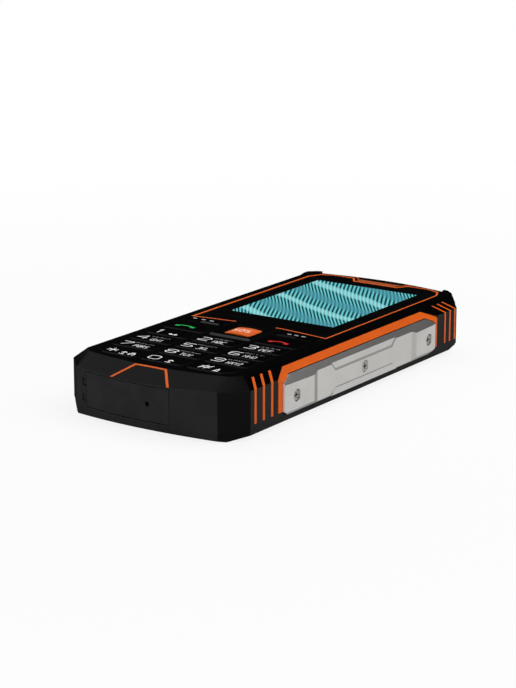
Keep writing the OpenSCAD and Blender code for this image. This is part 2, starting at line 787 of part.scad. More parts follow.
// Plan of the body set in by d along the sides and corners, and by e at the crowns
function inset_plan(d, e) =
    let (
        w = half_w - d,
        y0 = side_low + d * (sqrt(1 + lean_bottom * lean_bottom) - 1) / lean_bottom,
        y1 = side_high - d * (sqrt(1 + lean_top * lean_top) - 1) / lean_top,
        x0 = w - lean_bottom * (y0 + half_l - e),
        x1 = w - lean_top * (half_l - e - y1)
    )
    [[-w, y0], [-x0, -half_l + e], [x0, -half_l + e], [w, y0],
     [w, y1], [x1, half_l - e], [-x1, half_l - e], [-w, y1]];

// Levels, counted down from the front face and up from the rear face
wall_z = front_z - front_wall;
flange_z = wall_z - flange_gap;
flange_low_z = flange_z - flange_t;
mat_z = flange_low_z - key_travel - press_gap;
sheet_z = mat_z - mat_t;
board_z = sheet_z - sheet_t;
under_z = board_z - board_t;
lens_z = front_z - lens_in;
tape_z = lens_z - lens_t;
shelf_z = tape_z - tape_t;
panel_z = tape_z - panel_gap;
light_z = panel_z - panel_t;
cover_in_z = cover_t + cover_seal_t;
battery_z = cover_in_z;
deck_z = under_z - can_h - deck_gap;
bay_z = deck_z - mid_t;
battery_t = bay_z - battery_gap - battery_z;
jack_z = under_z - jack_h / 2;
antenna_h = jack_z - jack_h / 2 - antenna_gap - rear_t;

module along_y(profile) {
    rotate([90, 0, 0])
        linear_extrude(2 * body_l, center = true)
            polygon(profile);
}

module across_x(profile) {
    rotate([90, 0, 90])
        linear_extrude(2 * body_w, center = true)
            polygon(profile);
}

module upright(outline, z0, z1) {
    translate([0, 0, z0])
        linear_extrude(z1 - z0)
            polygon(outline);
}

module box(a, b) {
    translate(a)
        cube(b - a);
}

module both_sides() {
    children();
    mirror([1, 0, 0])
        children();
}

module end_drum(r_in) {
    translate([0, end_r - half_l, -beyond])
        cylinder(r = end_r - r_in, h = body_h + 2 * beyond, $fn = 128);
}

module bowed(r_in) {
    intersection() {
        children();
        end_drum(r_in);
        mirror([0, 1, 0])
            end_drum(r_in);
    }
}

module bevel_drum(run, drop, z, grow) {
    slant = sqrt(run * run + drop * drop);
    r = bevel_r * slant / drop;
    translate([0, run - half_l, z])
        rotate([-atan2(run, drop), 0, 0])
            translate([0, r, 0])
                cylinder(r = r + grow, h = 4 * body_l, center = true, $fn = 128);
}

function side_profile(z) = [
    [-half_w, 0], [half_w, 0], [half_w, z - slope_h], [half_w - slope_w, z],
    [slope_w - half_w, z], [-half_w, z - slope_h]
];

module corner_facet() {
    translate([half_w, side_low, front_z - slope_h])
        rotate([0, 0, atan2(1, lean_bottom)])
            rotate([atan2(slope_h, facet_run), 0, 0])
                translate([-2 * beyond, -beyond, 0])
                    cube([3 * beyond, 3 * beyond, beyond]);
}

module outer_block(z0) {
    difference() {
        intersection() {
            upright(inset_plan(0, 0), z0, front_z);
            along_y(side_profile(front_z));
            end_drum(0);
            mirror([0, 1, 0])
                end_drum(0);
            bevel_drum(bottom_run, bottom_drop, front_z, 0);
            mirror([0, 1, 0])
                bevel_drum(top_run, top_drop, front_z, 0);
        }
        both_sides()
            corner_facet();
    }
}

module corner_lip() {
    inner = side_high - lip_w * sqrt(1 + 1 / (lean_top * lean_top));
    function inner_y(x) = inner + (half_w - x) / lean_top;
    intersection() {
        upright(inset_plan(0, 0), wall_z, front_z + lip_rise);
        along_y(side_profile(front_z + lip_rise));
        mirror([0, 1, 0])
            end_drum(0);
        upright([[lip_x, inner_y(lip_x)], [half_w, inner_y(half_w)], [half_w, half_l], [lip_x, half_l]],
            wall_z, front_z + lip_rise);
    }
}

cav_w = half_w - wall;
cav_top_w = cav_w - slope_w * (1 + (wall - front_wall) / slope_h);

module cavity() {
    intersection() {
        upright(inset_plan(wall, end_wall), 0, wall_z);
        along_y([[-cav_w, 0], [cav_w, 0], [cav_w, front_z - wall - slope_h], [cav_top_w, wall_z],
            [-cav_top_w, wall_z], [-cav_w, front_z - wall - slope_h]]);
        across_x([[end_wall - half_l, 0], [half_l - end_wall, 0], [half_l - end_wall, wall_z],
            [bottom_run + wall - half_l, wall_z], [end_wall - half_l, wall_z - bottom_drop]]);
    }
}

// Lens outline and the orange line round it
lens_half = lens_w / 2;
lens_outline = [
    [-lens_half, lens_low], [-lens_mid, lens_low + lens_rise], [lens_mid, lens_low + lens_rise],
    [lens_half, lens_low], [lens_half, lens_top - lens_cut_l],
    [lens_half - lens_knee_w, lens_top - lens_cut_l + lens_knee_l],
    [lens_half - lens_cut_w, lens_top], [notch_wide, lens_top], [notch_narrow, lens_top - notch_d],
    [-notch_narrow, lens_top - notch_d], [-notch_wide, lens_top], [lens_cut_w - lens_half, lens_top],
    [lens_knee_w - lens_half, lens_top - lens_cut_l + lens_knee_l], [-lens_half, lens_top - lens_cut_l]
];
line_gap_low = lens_low - line_w - lens_rise;
line_gap_high = lens_low + lens_rise + line_w;

module lens_line(z0, z1, in, out) {
    difference() {
        upright(grown(lens_outline, out), z0, z1);
        upright(grown(lens_outline, in), z0 - 1, z1 + 1);
        box([line_off - lens_mid, line_gap_low, z0 - 1], [line_off + lens_mid, line_gap_high, z1 + 1]);
    }
}

panel_outline = moved(rect(screen_w + 2 * panel_side, screen_l + 2 * panel_end), 0, screen_y);
mesh_low = lens_top - notch_d + lens_clear + line_w + fit;
mesh_outline = [[-mesh_narrow, mesh_low], [mesh_narrow, mesh_low], [mesh_wide, mesh_low + mesh_l],
    [-mesh_wide, mesh_low + mesh_l]];
slot_y = half_l - end_wall - slot_l - fit;

// Key outlines, with the lower edge at y and the column at x
function key_outline(x, y, l, cl, cr) = moved([
    [cl - key_w / 2, 0], [key_w / 2 - cr, 0], [key_w / 2, cr], [key_w / 2, l],
    [-key_w / 2, l], [-key_w / 2, cl]
], x, y);
function dial_key(c, r) = key_outline(c * pitch_x, row_y(r), key_l,
    r == 0 && c < 0 ? corner_cut : key_cut, r == 0 && c > 0 ? corner_cut : key_cut);
function call_outline(c) = key_outline(c * pitch_x, row_y(4), call_l, key_cut, key_cut);
function soft_outline(c) = moved([
    [key_cut - key_w / 2, 0], [key_w / 2 - key_cut, 0], [key_w / 2, key_cut],
    [key_w / 2, c < 0 ? soft_inner : soft_outer], [-key_w / 2, c < 0 ? soft_outer : soft_inner],
    [-key_w / 2, key_cut]
], c * pitch_x, soft_low);
nav_outline = moved(cut_rect(nav_w, nav_w, nav_cut), 0, nav_y);
centre_outline = moved(cut_rect(centre_w, centre_l, centre_cut), 0, nav_y);
key_outlines = [
    for (r = [0 : 3]) for (c = [-1 : 1]) dial_key(c, r),
    for (c = [-1, 1]) call_outline(c),
    for (c = [-1, 1]) soft_outline(c)
];
key_middles = [
    for (r = [0 : 3]) for (c = [-1 : 1]) [c * pitch_x, row_y(r) + key_l / 2],
    for (c = [-1, 1]) [c * pitch_x, row_y(4) + call_l / 2],
    for (c = [-1, 1]) [c * pitch_x, soft_low + soft_outer / 2],
    [0, nav_y]
];

// Cap with bevelled upper edges, and the flange under the front wall
module key_body(outline, x, y, l) {
    top = front_z + key_rise;
    b = key_bevel;
    w = key_w / 2;
    intersection() {
        upright(outline, flange_low_z, top);
        along_y([[x - w, 0], [x + w, 0], [x + w, top - b], [x + w - b, top], [x - w + b, top],
            [x - w, top - b]]);
        across_x([[y, 0], [y + l, 0], [y + l, top - b], [y + l - b, top], [y + b, top], [y, top - b]]);
    }
    upright(grown(outline, flange_w), flange_low_z, flange_z);
}

module dial(c, r) {
    color(dark)
        key_body(dial_key(c, r), c * pitch_x, row_y(r), key_l);
}

module housing_screw_places() {
    for (y = [post_low, post_mid, post_high])
        both_sides()
            translate([post_x, y, 0])
                children();
}

module plate_screw_places() {
    for (y = [screw_near, screw_mid, screw_far])
        translate([0, y, plate_screw_z])
            rotate([0, 90, 0])
                children();
}

module posts() {
    housing_screw_places()
        translate([0, 0, rear_t + fit])
            cylinder(r = post_r, h = wall_z - rear_t);
}

module post_holes() {
    housing_screw_places()
        cylinder(r = shank_r + shank_clear, h = head_deep + screw_l + 1);
}

face_x = half_w + plate_out;
head_x = face_x - head_in;

module plate_bosses() {
    both_sides()
        plate_screw_places()
            translate([0, 0, cav_w - plate_boss_l])
                cylinder(r = plate_boss_r, h = plate_boss_l + fit);
}

module plate_boss_holes() {
    both_sides()
        plate_screw_places()
            translate([0, 0, head_x - plate_head_h - plate_screw_l - fit])
                cylinder(r = shank_r + shank_clear, h = plate_screw_l + plate_head_h + beyond);
}

// Section through the pocket at the side: the trim lies on its slope, the plate on its wall
trim_a = [half_w - slope_w + trim_drop * slope_w / slope_h, front_z - trim_drop];
trim_b = [half_w + trim_out, front_z - trim_bend];
trim_dir = unit(trim_b - trim_a);
trim_out_dir = [-trim_dir[1], trim_dir[0]];
pocket_x = half_w - pocket_d;
pocket_a = trim_a - trim_out_dir * pocket_d;
pocket_b = [pocket_x, pocket_a[1] + trim_dir[1] * (pocket_x - pocket_a[0]) / trim_dir[0]];
plate_a = trim_a + trim_dir * band_w;
plate_foot = plate_a - trim_out_dir * pocket_d;
plate_fall = (front_z - plate_bend - plate_a[1]) / (face_x - plate_a[0]);
boss_x = face_x + boss_out;
bar_x = face_x - bar_in;
boss_z = plate_a[1] + plate_fall * (boss_x - plate_a[0]);

trim_outline = [
    [trim_near, front_z - trim_low], [trim_far, front_z - trim_low], [trim_far, front_z - slope_h],
    [trim_far - trim_lean_far, trim_a[1]], [trim_near + trim_lean_near, trim_a[1]],
    [trim_near, front_z - slope_h]
];
plate_outline = [
    [plate_near + low_cut_near, front_z - plate_low], [plate_far - low_cut_far, front_z - plate_low],
    [plate_far, front_z - plate_low + low_cut_h], [plate_far, front_z - plate_bend],
    [plate_far - plate_lean, plate_a[1]], [plate_near + plate_lean, plate_a[1]],
    [plate_near, front_z - plate_bend], [plate_near, front_z - plate_low + low_cut_h]
];

module side_pocket() {
    intersection() {
        along_y([pocket_a, trim_a, [half_w + beyond, trim_a[1]], [half_w + beyond, front_z - plate_low],
            [pocket_x, front_z - plate_low], pocket_b]);
        union() {
            across_x(trim_outline);
            across_x(plate_outline);
        }
    }
}

module side_trim() {
    difference() {
        intersection() {
            along_y([pocket_a, trim_a, trim_b, [trim_b[0], front_z - plate_low],
                [pocket_x, front_z - plate_low], pocket_b]);
            across_x(trim_outline);
            box([0, -body_l, 0], [body_w, body_l, 2 * body_h]);
        }
        across_x(grown(plate_outline, plate_seam));
        box([0, plate_near - plate_seam, 0], [body_w, plate_far + plate_seam, front_z - plate_bend]);
    }
}

module plate_section() {
    along_y([plate_foot, plate_a, [boss_x, boss_z], [boss_x, front_z - plate_low],
        [pocket_x, front_z - plate_low], pocket_b]);
}

// Everything above the bevel along the plate's lower edge
module above_bevel() {
    low = front_z - plate_low;
    along_y([[0, low], [face_x - boss_tuck, low], [boss_x, low + boss_bevel], [boss_x, front_z],
        [0, front_z]]);
}

// Everything outside the floor of the sunk bar and short of its bevelled far end
module bar_end() {
    lean = atan2(bar_long - bar_short, bar_low - bar_top);
    translate([0, bar_y + bar_short, front_z - bar_low])
        rotate([-lean, 0, 0])
            upright([[bar_x, -body_l], [bar_x, -bar_bevel], [face_x + bar_in, bar_bevel], [body_w, bar_bevel],
                [body_w, -body_l]], -body_l, body_l);
}

module sunk_bar() {
    low = front_z - bar_low;
    intersection() {
        along_y([[bar_x, low + bar_bevel], [face_x + bar_in, low - bar_bevel], [body_w, low - bar_bevel],
            [body_w, front_z], [bar_x, front_z]]);
        bar_end();
        translate([0, 2 * bar_y, 0])
            mirror([0, 1, 0])
                bar_end();
    }
}

module side_plate() {
    near_top = plate_near + boss_near;
    far_top = plate_far - boss_far;
    bar_near = bar_y - bar_long;
    bar_far = bar_y + bar_long;
    end_x = face_x + boss_end;
    difference() {
        intersection() {
            plate_section();
            across_x(plate_outline);
            union() {
                intersection() {
                    above_bevel();
                    upright([[0, plate_near], [end_x, plate_near], [boss_x, near_top],
                        [face_x, near_top + boss_ramp], [face_x, far_top - boss_ramp], [boss_x, far_top],
                        [end_x, plate_far], [0, plate_far]], 0, front_z);
                }
                intersection() {
                    box([pocket_x, bar_near, 0], [face_x + foot_out, bar_far, front_z - foot_top]);
                    across_x([[bar_near, front_z - plate_low], [bar_far, front_z - plate_low],
                        [bar_y + bar_short, front_z - foot_top], [bar_y - bar_short, front_z - foot_top]]);
                }
            }
        }
        sunk_bar();
        plate_screw_places() {
            translate([0, 0, head_x - plate_head_h])
                cylinder(r = plate_head_r + shank_clear, h = beyond);
            cylinder(r = shank_r + shank_clear, h = body_w);
        }
    }
}

// Stripe drawn on the side and laid in the skin of the body
module stripe(y, w, lean, deep, proud) {
    bend = front_z - slope_h;
    end = front_z - stripe_top;
    intersection() {
        across_x([[y - w / 2, front_z - stripe_low], [y + w / 2, front_z - stripe_low], [y + w / 2, bend],
            [y + w / 2 + lean, end], [y - w / 2 + lean, end], [y - w / 2, bend]]);
        along_y([[half_w - deep, 0], [half_w + proud, 0], [half_w + proud, front_z - slope_h + proud],
            [half_w - slope_w + proud, front_z + proud], [half_w - slope_w - deep, front_z - deep],
            [half_w - deep, front_z - slope_h - deep]]);
    }
}

module stripes(deep, proud) {
    both_sides()
        for (i = [0 : 2]) {
            stripe(stripe_near + i * stripe_near_step, stripe_near_w, lean_near, deep, proud);
            stripe(stripe_far + i * stripe_far_step, stripe_far_w, -lean_far, deep, proud);
        }
}

module accent(grow) {
    y0 = bottom_run - half_l - accent_in;
    leg = unit([accent_spread, -accent_leg]);
    side = [-leg[1], leg[0]] * accent_w / 2;
    a = [accent_half, y0];
    b = a + leg * norm([accent_spread, accent_leg]);
    inner = a - side + leg * (2 * side[1] - accent_top) / leg[1];
    intersection() {
        difference() {
            bevel_drum(bottom_run, bottom_drop, front_z, grow);
            bevel_drum(bottom_run, bottom_drop, front_z, -accent_t);
        }
        upright([inner, b - side, b + side, a + side,
            [-a[0] - side[0], a[1] + side[1]], [-b[0] - side[0], b[1] + side[1]],
            [side[0] - b[0], b[1] - side[1]], [-inner[0], inner[1]]],
            front_z - bottom_drop, front_z + 1);
    }
}

// Hinge line of the flap, near its left end
hinge_x = flap_left - hinge_in;
hinge_y = bow(hinge_x, end_r) - half_l + hinge_deep;
flap_depth = half_l - bow(flap_left, end_r) - 2 * flap_t;
// Round cut in the flap's left end, which lets it swing past the edge of its seat
seat_edge = flap_left - flap_clear;
heel_r = norm([seat_edge - hinge_x, bow(seat_edge, end_r) - half_l - hinge_y]) + knuckle_clear;

module flap_seat() {
    difference() {
        box([flap_left - flap_clear, -half_l - 1, flap_low - flap_clear],
            [flap_right + flap_clear, -flap_depth + flap_t, flap_high + flap_clear]);
        end_drum(flap_t + flap_clear);
    }
    for (z = [knuckle_low, knuckle_high]) {
        r = knuckle_r + knuckle_clear;
        z0 = z - knuckle_l / 2 - knuckle_clear;
        translate([hinge_x, hinge_y, z0])
            cylinder(r = r, h = knuckle_l + 2 * knuckle_clear);
        box([hinge_x - r, -half_l, z0], [flap_left, hinge_y, z0 + knuckle_l + 2 * knuckle_clear]);
        box([hinge_x, -half_l, z0],
            [flap_left, hinge_y + strap_t / 2 + knuckle_clear, z0 + knuckle_l + 2 * knuckle_clear]);
    }
}

port_low = jack_z - jack_h / 2 - port_clear;
port_left = jack_x - jack_w / 2 - port_clear;
port_right = usb_x + usb_w / 2 + port_clear;
function flap_back(x) = end_r - half_l - sqrt(pow(end_r - flap_t, 2) - x * x);
socket_y = flap_back(jack_x - jack_w / 2) + socket_in;
mid_low = socket_y + jack_l + mid_gap;
mic_y = end_wall - half_l - mic_l;

module front_housing() {
    color(black)
        difference() {
            union() {
                difference() {
                    union() {
                        outer_block(seam_z);
                        both_sides()
                            corner_lip();
                    }
                    cavity();
                }
                intersection() {
                    union() {
                        posts();
                        plate_bosses();
                    }
                    outer_block(rear_t);
                }
            }
            post_holes();
            plate_boss_holes();
            both_sides()
                side_pocket();
            stripes(stripe_t, 1);
            accent(1);
            upright(grown(lens_outline, lens_clear), shelf_z, front_z + 1);
            lens_line(front_z - line_t, front_z + 1, 0, lens_clear + line_w);
            upright(grown(panel_outline, fit), 0, front_z);
            upright(grown(mesh_outline, fit), front_z - mesh_in - mesh_t, front_z + 1);
            box([-slot_half, slot_y, 0], [slot_half, slot_y + slot_l, front_z]);
            for (o = key_outlines)
                upright(grown(o, key_clear), wall_z - 1, front_z + 1);
            upright(grown(nav_outline, nav_clear), wall_z - 1, front_z + 1);
            upright(grown(nav_outline, flange_w + nav_clear), wall_z - 1, wall_z + nav_relief);
            flap_seat();
            box([port_left, -half_l, port_low], [port_right, 0, under_z + port_clear]);
            translate([speech_x, 0, speech_z])
                rotate([90, 0, 0]) {
                    translate([0, 0, 1 - end_wall + half_l - 2 * fit])
                        cylinder(r = mic_hole_r, h = end_wall);
                    cylinder(r = mic_r + fit, h = -mic_y + fit);
                }
        }
}

module under_facet(y, lean) {
    translate([half_w, y, rear_corner_rise])
        rotate([0, 0, atan2(1, lean)])
            rotate([-atan2(rear_corner_rise, rear_corner_run), 0, 0])
                translate([-2 * beyond, -beyond, -beyond])
                    cube([3 * beyond, 3 * beyond, beyond]);
}

module rear_block() {
    w = half_w - rear_inset;
    l = half_l - rear_inset;
    sr = rear_side_run;
    sz = rear_side_rise;
    er = rear_end_run;
    ez = rear_end_rise;
    difference() {
        bowed(rear_inset)
            intersection() {
                upright(inset_plan(rear_inset, rear_inset), 0, seam_z);
                along_y([[sr - w, 0], [w - sr, 0], [w, sz], [w, seam_z], [-w, seam_z], [-w, sz]]);
                across_x([[er - l, 0], [l - er, 0], [l, ez], [l, seam_z], [-l, seam_z], [-l, ez]]);
            }
        both_sides()
            mirror([0, 1, 0])
                under_facet(-side_high, lean_top);
    }
}

cover_outline = moved(cut_rect(cover_w, cover_l, cover_cut), 0, battery_y);
bay_outline = moved(rect(battery_w + 2 * battery_gap, battery_l + 2 * battery_gap), 0, battery_y);
bay_high = battery_high + battery_gap;
mid_high = bay_high + mid_end;

module cover_screw_places() {
    for (y = [-cover_screw_y, cover_screw_y])
        both_sides()
            translate([cover_screw_x, battery_y + y, 0])
                children();
}

grille_w = (rear_slots - 1) * rear_slot_step + rear_slot_w + 2 * grille_edge;
grille_l = rear_slot_l + 2 * grille_edge;
grille_outline = moved(rect(grille_w, grille_l), 0, speaker_y);

module rear_housing() {
    lip_in = wall + fit;
    lip_end = end_wall + fit;
    color(black)
        difference() {
            union() {
                difference() {
                    rear_block();
                    upright(inset_plan(wall, end_wall), rear_t, seam_z + 1);
                }
                difference() {
                    upright(inset_plan(lip_in, lip_end), rear_t, seam_z + tongue_h);
                    upright(inset_plan(lip_in + tongue_t, lip_end + tongue_t), rear_t - 1, seam_z + beyond);
                    housing_screw_places()
                        cylinder(r = post_r + fit, h = beyond);
                }
                cover_screw_places()
                    translate([0, 0, cover_in_z])
                        cylinder(r = cover_boss_r, h = cover_boss_h - cover_in_z);
            }
            upright(grown(cover_outline, fit), -1, cover_in_z);
            upright(bay_outline, -1, seam_z);
            cover_screw_places()
                cylinder(r = shank_r + shank_clear, h = head_in + cover_screw_l + cover_head_h);
            housing_screw_places() {
                translate([0, 0, -1])
                    cylinder(r = head_r + shank_clear, h = 1 + head_deep + head_h);
                cylinder(r = shank_r + shank_clear, h = seam_z);
            }
            difference() {
                upright(inset_plan(wall - seal_in - seal_w, end_wall - seal_in - seal_w),
                    seam_z - seal_t, seam_z + 1);
                upright(inset_plan(wall - seal_in, end_wall - seal_in), 0, seam_z + beyond);
            }
            upright(grown(grille_outline, fit), -1, grille_in + grille_t);
            for (i = [0 : rear_slots - 1])
                translate([(i - (rear_slots - 1) / 2) * rear_slot_step, speaker_y, seam_z / 2])
                    cube([rear_slot_w, rear_slot_l, 2 * seam_z], center = true);
            translate([0, camera_y, -1]) {
                cylinder(r = window_r + fit, h = 1 + window_in + window_t);
                cylinder(r = barrel_r + barrel_clear, h = seam_z + 1);
            }
            translate([flash_x, camera_y, -1])
                cylinder(r = flash_r + fit, h = seam_z + 1);
        }
}

module mid_frame() {
    outer = grown(bay_outline, bay_wall);
    plate_half = battery_w / 2 + battery_gap + bay_wall;
    color(dark)
        difference() {
            union() {
                box([-plate_half, mid_low, bay_z], [plate_half, mid_high, deck_z]);
                upright(outer, rear_t, bay_z);
                for (y = [support_low, support_high])
                    both_sides()
                        translate([support_x, y, bay_z])
                            cylinder(r = support_r, h = under_z - bay_z);
            }
            upright(bay_outline, 0, bay_z);
            both_sides()
                box([can_x - card_w / 2, card_y - card_l / 2, bay_z - 1],
                    [can_x + card_w / 2, card_y + card_l / 2, deck_z + 1]);
            box([-contact_w / 2 - fit, bay_high - battery_gap, under_z - contact_h - fit],
                [contact_w / 2 + fit, bay_high + bay_wall + contact_l + 2 * fit, deck_z + 1]);
        }
}

module battery_cover() {
    color(dark)
        difference() {
            upright(cover_outline, 0, cover_t);
            cover_screw_places() {
                translate([0, 0, -1])
                    cylinder(r = head_r + shank_clear, h = 1 + head_in + cover_head_h);
                cylinder(r = shank_r + shank_clear, h = seam_z);
            }
        }
}

module cover_seal() {
    color(rubber)
        difference() {
            upright(grown(bay_outline, cover_seal_in + cover_seal_w), cover_t, cover_in_z);
            upright(grown(bay_outline, cover_seal_in), 0, seam_z);
        }
}

module cross_recess() {
    translate([0, 0, recess_d / 2]) {
        cube([head_r, recess_w, recess_d], center = true);
        cube([recess_w, head_r, recess_d], center = true);
    }
}

module rear_screw(z, h, l) {
    translate([0, 0, z])
        difference() {
            union() {
                cylinder(r = head_r, h = h);
                cylinder(r = shank_r, h = l);
            }
            cross_recess();
        }
}

module cover_screws() {
    color(steel)
        cover_screw_places()
            rear_screw(head_in, cover_head_h, cover_screw_l);
}

module housing_screws() {
    color(steel)
        housing_screw_places()
            rear_screw(head_deep, head_h, screw_l);
}

module housing_seal() {
    color(rubber)
        difference() {
            upright(inset_plan(wall - seal_in - seal_w, end_wall - seal_in - seal_w),
                seam_z - seal_t, seam_z);
            upright(inset_plan(wall - seal_in, end_wall - seal_in), 0, seam_z + 1);
        }
}

module display_lens() {
    color(glass)
        upright(lens_outline, tape_z, lens_z);
}

module lens_tape() {
    color(black)
        difference() {
            upright(lens_outline, shelf_z, tape_z);
            upright(grown(panel_outline, fit), 0, front_z);
            box([-slot_half, slot_y, 0], [slot_half, slot_y + slot_l, front_z]);
        }
}

module lens_trim() {
    color(orange)
        lens_line(front_z - line_t, front_z, lens_clear, lens_clear + line_w);
}

module display_panel() {
    color(glass)
        upright(panel_outline, light_z, panel_z);
}

module display_backlight() {
    color(white)
        upright(grown(panel_outline, light_edge), board_z + light_gap,
            min(light_z, wall_z - light_gap));
}

module earpiece_mesh() {
    color(orange)
        upright(mesh_outline, front_z - mesh_in - mesh_t, front_z - mesh_in);
}

module earpiece() {
    y1 = half_l - end_wall - fit;
    color(steel)
        box([-capsule_w / 2, y1 - capsule_l, wall_z - light_gap - capsule_t],
            [capsule_w / 2, y1, wall_z - light_gap]);
}

mat_half = pitch_x + key_w / 2 + flange_w;
mat_low = keys_low - flange_w;
mat_high = lens_low - fit;

module key_mat() {
    color(rubber)
        difference() {
            box([-mat_half, mat_low, sheet_z], [mat_half, mat_high, mat_z]);
            for (m = key_middles)
                translate([m[0], m[1], sheet_z - 1])
                    cylinder(r = dome_r + dome_clear, h = 1 + dome_h + 2 * press_gap / 3);
            upright(grown(nav_outline, flange_w + nav_clear), mat_z - nav_drop, mat_z + 1);
            translate([0, nav_y, sheet_z - 1])
                cylinder(r = dome_r + dome_clear, h = beyond);
        }
}

module dome_sheet() {
    color(steel) {
        box([-mat_half, mat_low, board_z], [mat_half, mat_high, sheet_z]);
        for (m = key_middles)
            translate([m[0], m[1], board_z])
                cylinder(r = dome_r, h = sheet_t + dome_h);
    }
}

module main_board() {
    l = board_high - board_low;
    color(board_green)
        difference() {
            upright(moved(cut_rect(2 * board_half, l, board_cut), 0, board_low + l / 2), under_z, board_z);
            housing_screw_places()
                cylinder(r = post_r + board_clear, h = front_z);
        }
}

module shield_cans() {
    color(bright)
        both_sides()
            difference() {
                box([can_x - can_w / 2, can_y - can_l / 2, under_z - can_h],
                    [can_x + can_w / 2, can_y + can_l / 2, under_z]);
                box([can_x - can_w / 2 + can_t, can_y - can_l / 2 + can_t, under_z - can_h + can_t],
                    [can_x + can_w / 2 - can_t, can_y + can_l / 2 - can_t, under_z + 1]);
            }
}

module card_sockets() {
    color(bright)
        both_sides()
            difference() {
                box([can_x - card_w / 2, card_y - card_l / 2, under_z - card_h],
                    [can_x + card_w / 2, card_y + card_l / 2, under_z]);
                box([can_x - card_w / 2 + 2 * can_t, card_y - card_l / 2 - 1, under_z - card_h + can_t],
                    [can_x + card_w / 2 - 2 * can_t, card_y + card_l / 2 - 1,
                        under_z - card_h + can_t + card_mouth]);
            }
}

module battery_contacts() {
    y0 = bay_high + bay_wall + fit;
    z0 = under_z - contact_h;
    color(gold) {
        box([-contact_w / 2, y0, z0], [contact_w / 2, y0 + contact_l, under_z]);
        for (i = [-1 : 1])
            box([i * blade_step - blade_w / 2, bay_high - battery_gap + fit / 2, z0 + fit],
                [i * blade_step + blade_w / 2, y0 + 1, z0 + fit + blade_h]);
    }
}

module battery() {
    color(white)
        box([-battery_w / 2, battery_y - battery_l / 2, battery_z],
            [battery_w / 2, battery_y + battery_l / 2, battery_z + battery_t]);
}

module loudspeaker() {
    color(dark)
        translate([-speaker_w / 2, speaker_y - speaker_l / 2, rear_t])
            cube([speaker_w, speaker_l, speaker_t]);
}

module speaker_mesh() {
    color(steel)
        upright(grille_outline, grille_in, grille_in + grille_t);
}

module vibration_motor() {
    color(steel)
        translate([motor_x - motor_l / 2, motor_y, rear_t + motor_r + light_gap])
            rotate([0, 90, 0])
                cylinder(r = motor_r, h = motor_l);
}

module camera_module() {
    color(dark)
        translate([0, camera_y, 0]) {
            translate([-camera_w / 2, -camera_w / 2, under_z - camera_h])
                cube([camera_w, camera_w, camera_h]);
            translate([0, 0, window_in + window_t + fit])
                cylinder(r = barrel_r, h = under_z - camera_h - window_in - window_t);
        }
}

module camera_window() {
    color(glass)
        translate([0, camera_y, window_in])
            cylinder(r = window_r, h = window_t);
}

module flash_led() {
    color(white)
        translate([flash_x, camera_y, window_in]) {
            cylinder(r = flash_r, h = rear_t + flash_flange_t - window_in);
            translate([0, 0, rear_t - window_in])
                cylinder(r = flash_flange_r, h = flash_flange_t);
        }
}

module charging_socket() {
    z1 = under_z;
    z0 = z1 - usb_h;
    mid = (z0 + z1) / 2;
    color(bright)
        difference() {
            box([usb_x - usb_w / 2, socket_y, z0], [usb_x + usb_w / 2, socket_y + usb_l, z1]);
            difference() {
                box([usb_x - usb_w / 2 + usb_t, socket_y - 1, z0 + usb_t],
                    [usb_x + usb_w / 2 - usb_t, socket_y + usb_deep, z1 - usb_t]);
                box([usb_x - usb_w / 4, socket_y + usb_t, mid - usb_tongue / 2],
                    [usb_x + usb_w / 4, socket_y + usb_l, mid + usb_tongue / 2]);
            }
        }
}

module audio_jack() {
    color(dark)
        difference() {
            box([jack_x - jack_w / 2, socket_y, jack_z - jack_h / 2],
                [jack_x + jack_w / 2, socket_y + jack_l, under_z]);
            translate([jack_x, socket_y + jack_deep, jack_z])
                rotate([90, 0, 0])
                    cylinder(r = jack_r, h = jack_deep + 1);
        }
}

module microphone() {
    color(bright)
        translate([speech_x, mic_y + mic_l, speech_z])
            rotate([90, 0, 0])
                cylinder(r = mic_r, h = mic_l);
}

module antenna_carrier() {
    color(dark)
        translate([-antenna_w / 2, antenna_y - antenna_l / 2, rear_t])
            cube([antenna_w, antenna_l, antenna_h]);
}

module side_plate_right() {
    color(steel)
        side_plate();
}

module side_plate_left() {
    color(steel)
        mirror([1, 0, 0])
            side_plate();
}

module side_trim_right() {
    color(orange)
        side_trim();
}

module side_trim_left() {
    color(orange)
        mirror([1, 0, 0])
            side_trim();
}

module plate_screws() {
    color(steel)
        both_sides()
            plate_screw_places()
                difference() {
                    union() {
                        translate([0, 0, head_x - plate_head_h])
                            cylinder(r = plate_head_r, h = plate_head_h);
                        translate([0, 0, head_x - plate_head_h - plate_screw_l])
                            cylinder(r = shank_r, h = plate_screw_l + plate_head_h);
                    }
                    translate([0, 0, head_x - recess_d])
                        cross_recess();
                }
}

module corner_stripes() {
    color(orange)
        stripes(stripe_t, stripe_out);
}

module bottom_accent() {
    color(orange)
        intersection() {
            accent(accent_out);
            end_drum(0);
        }
}

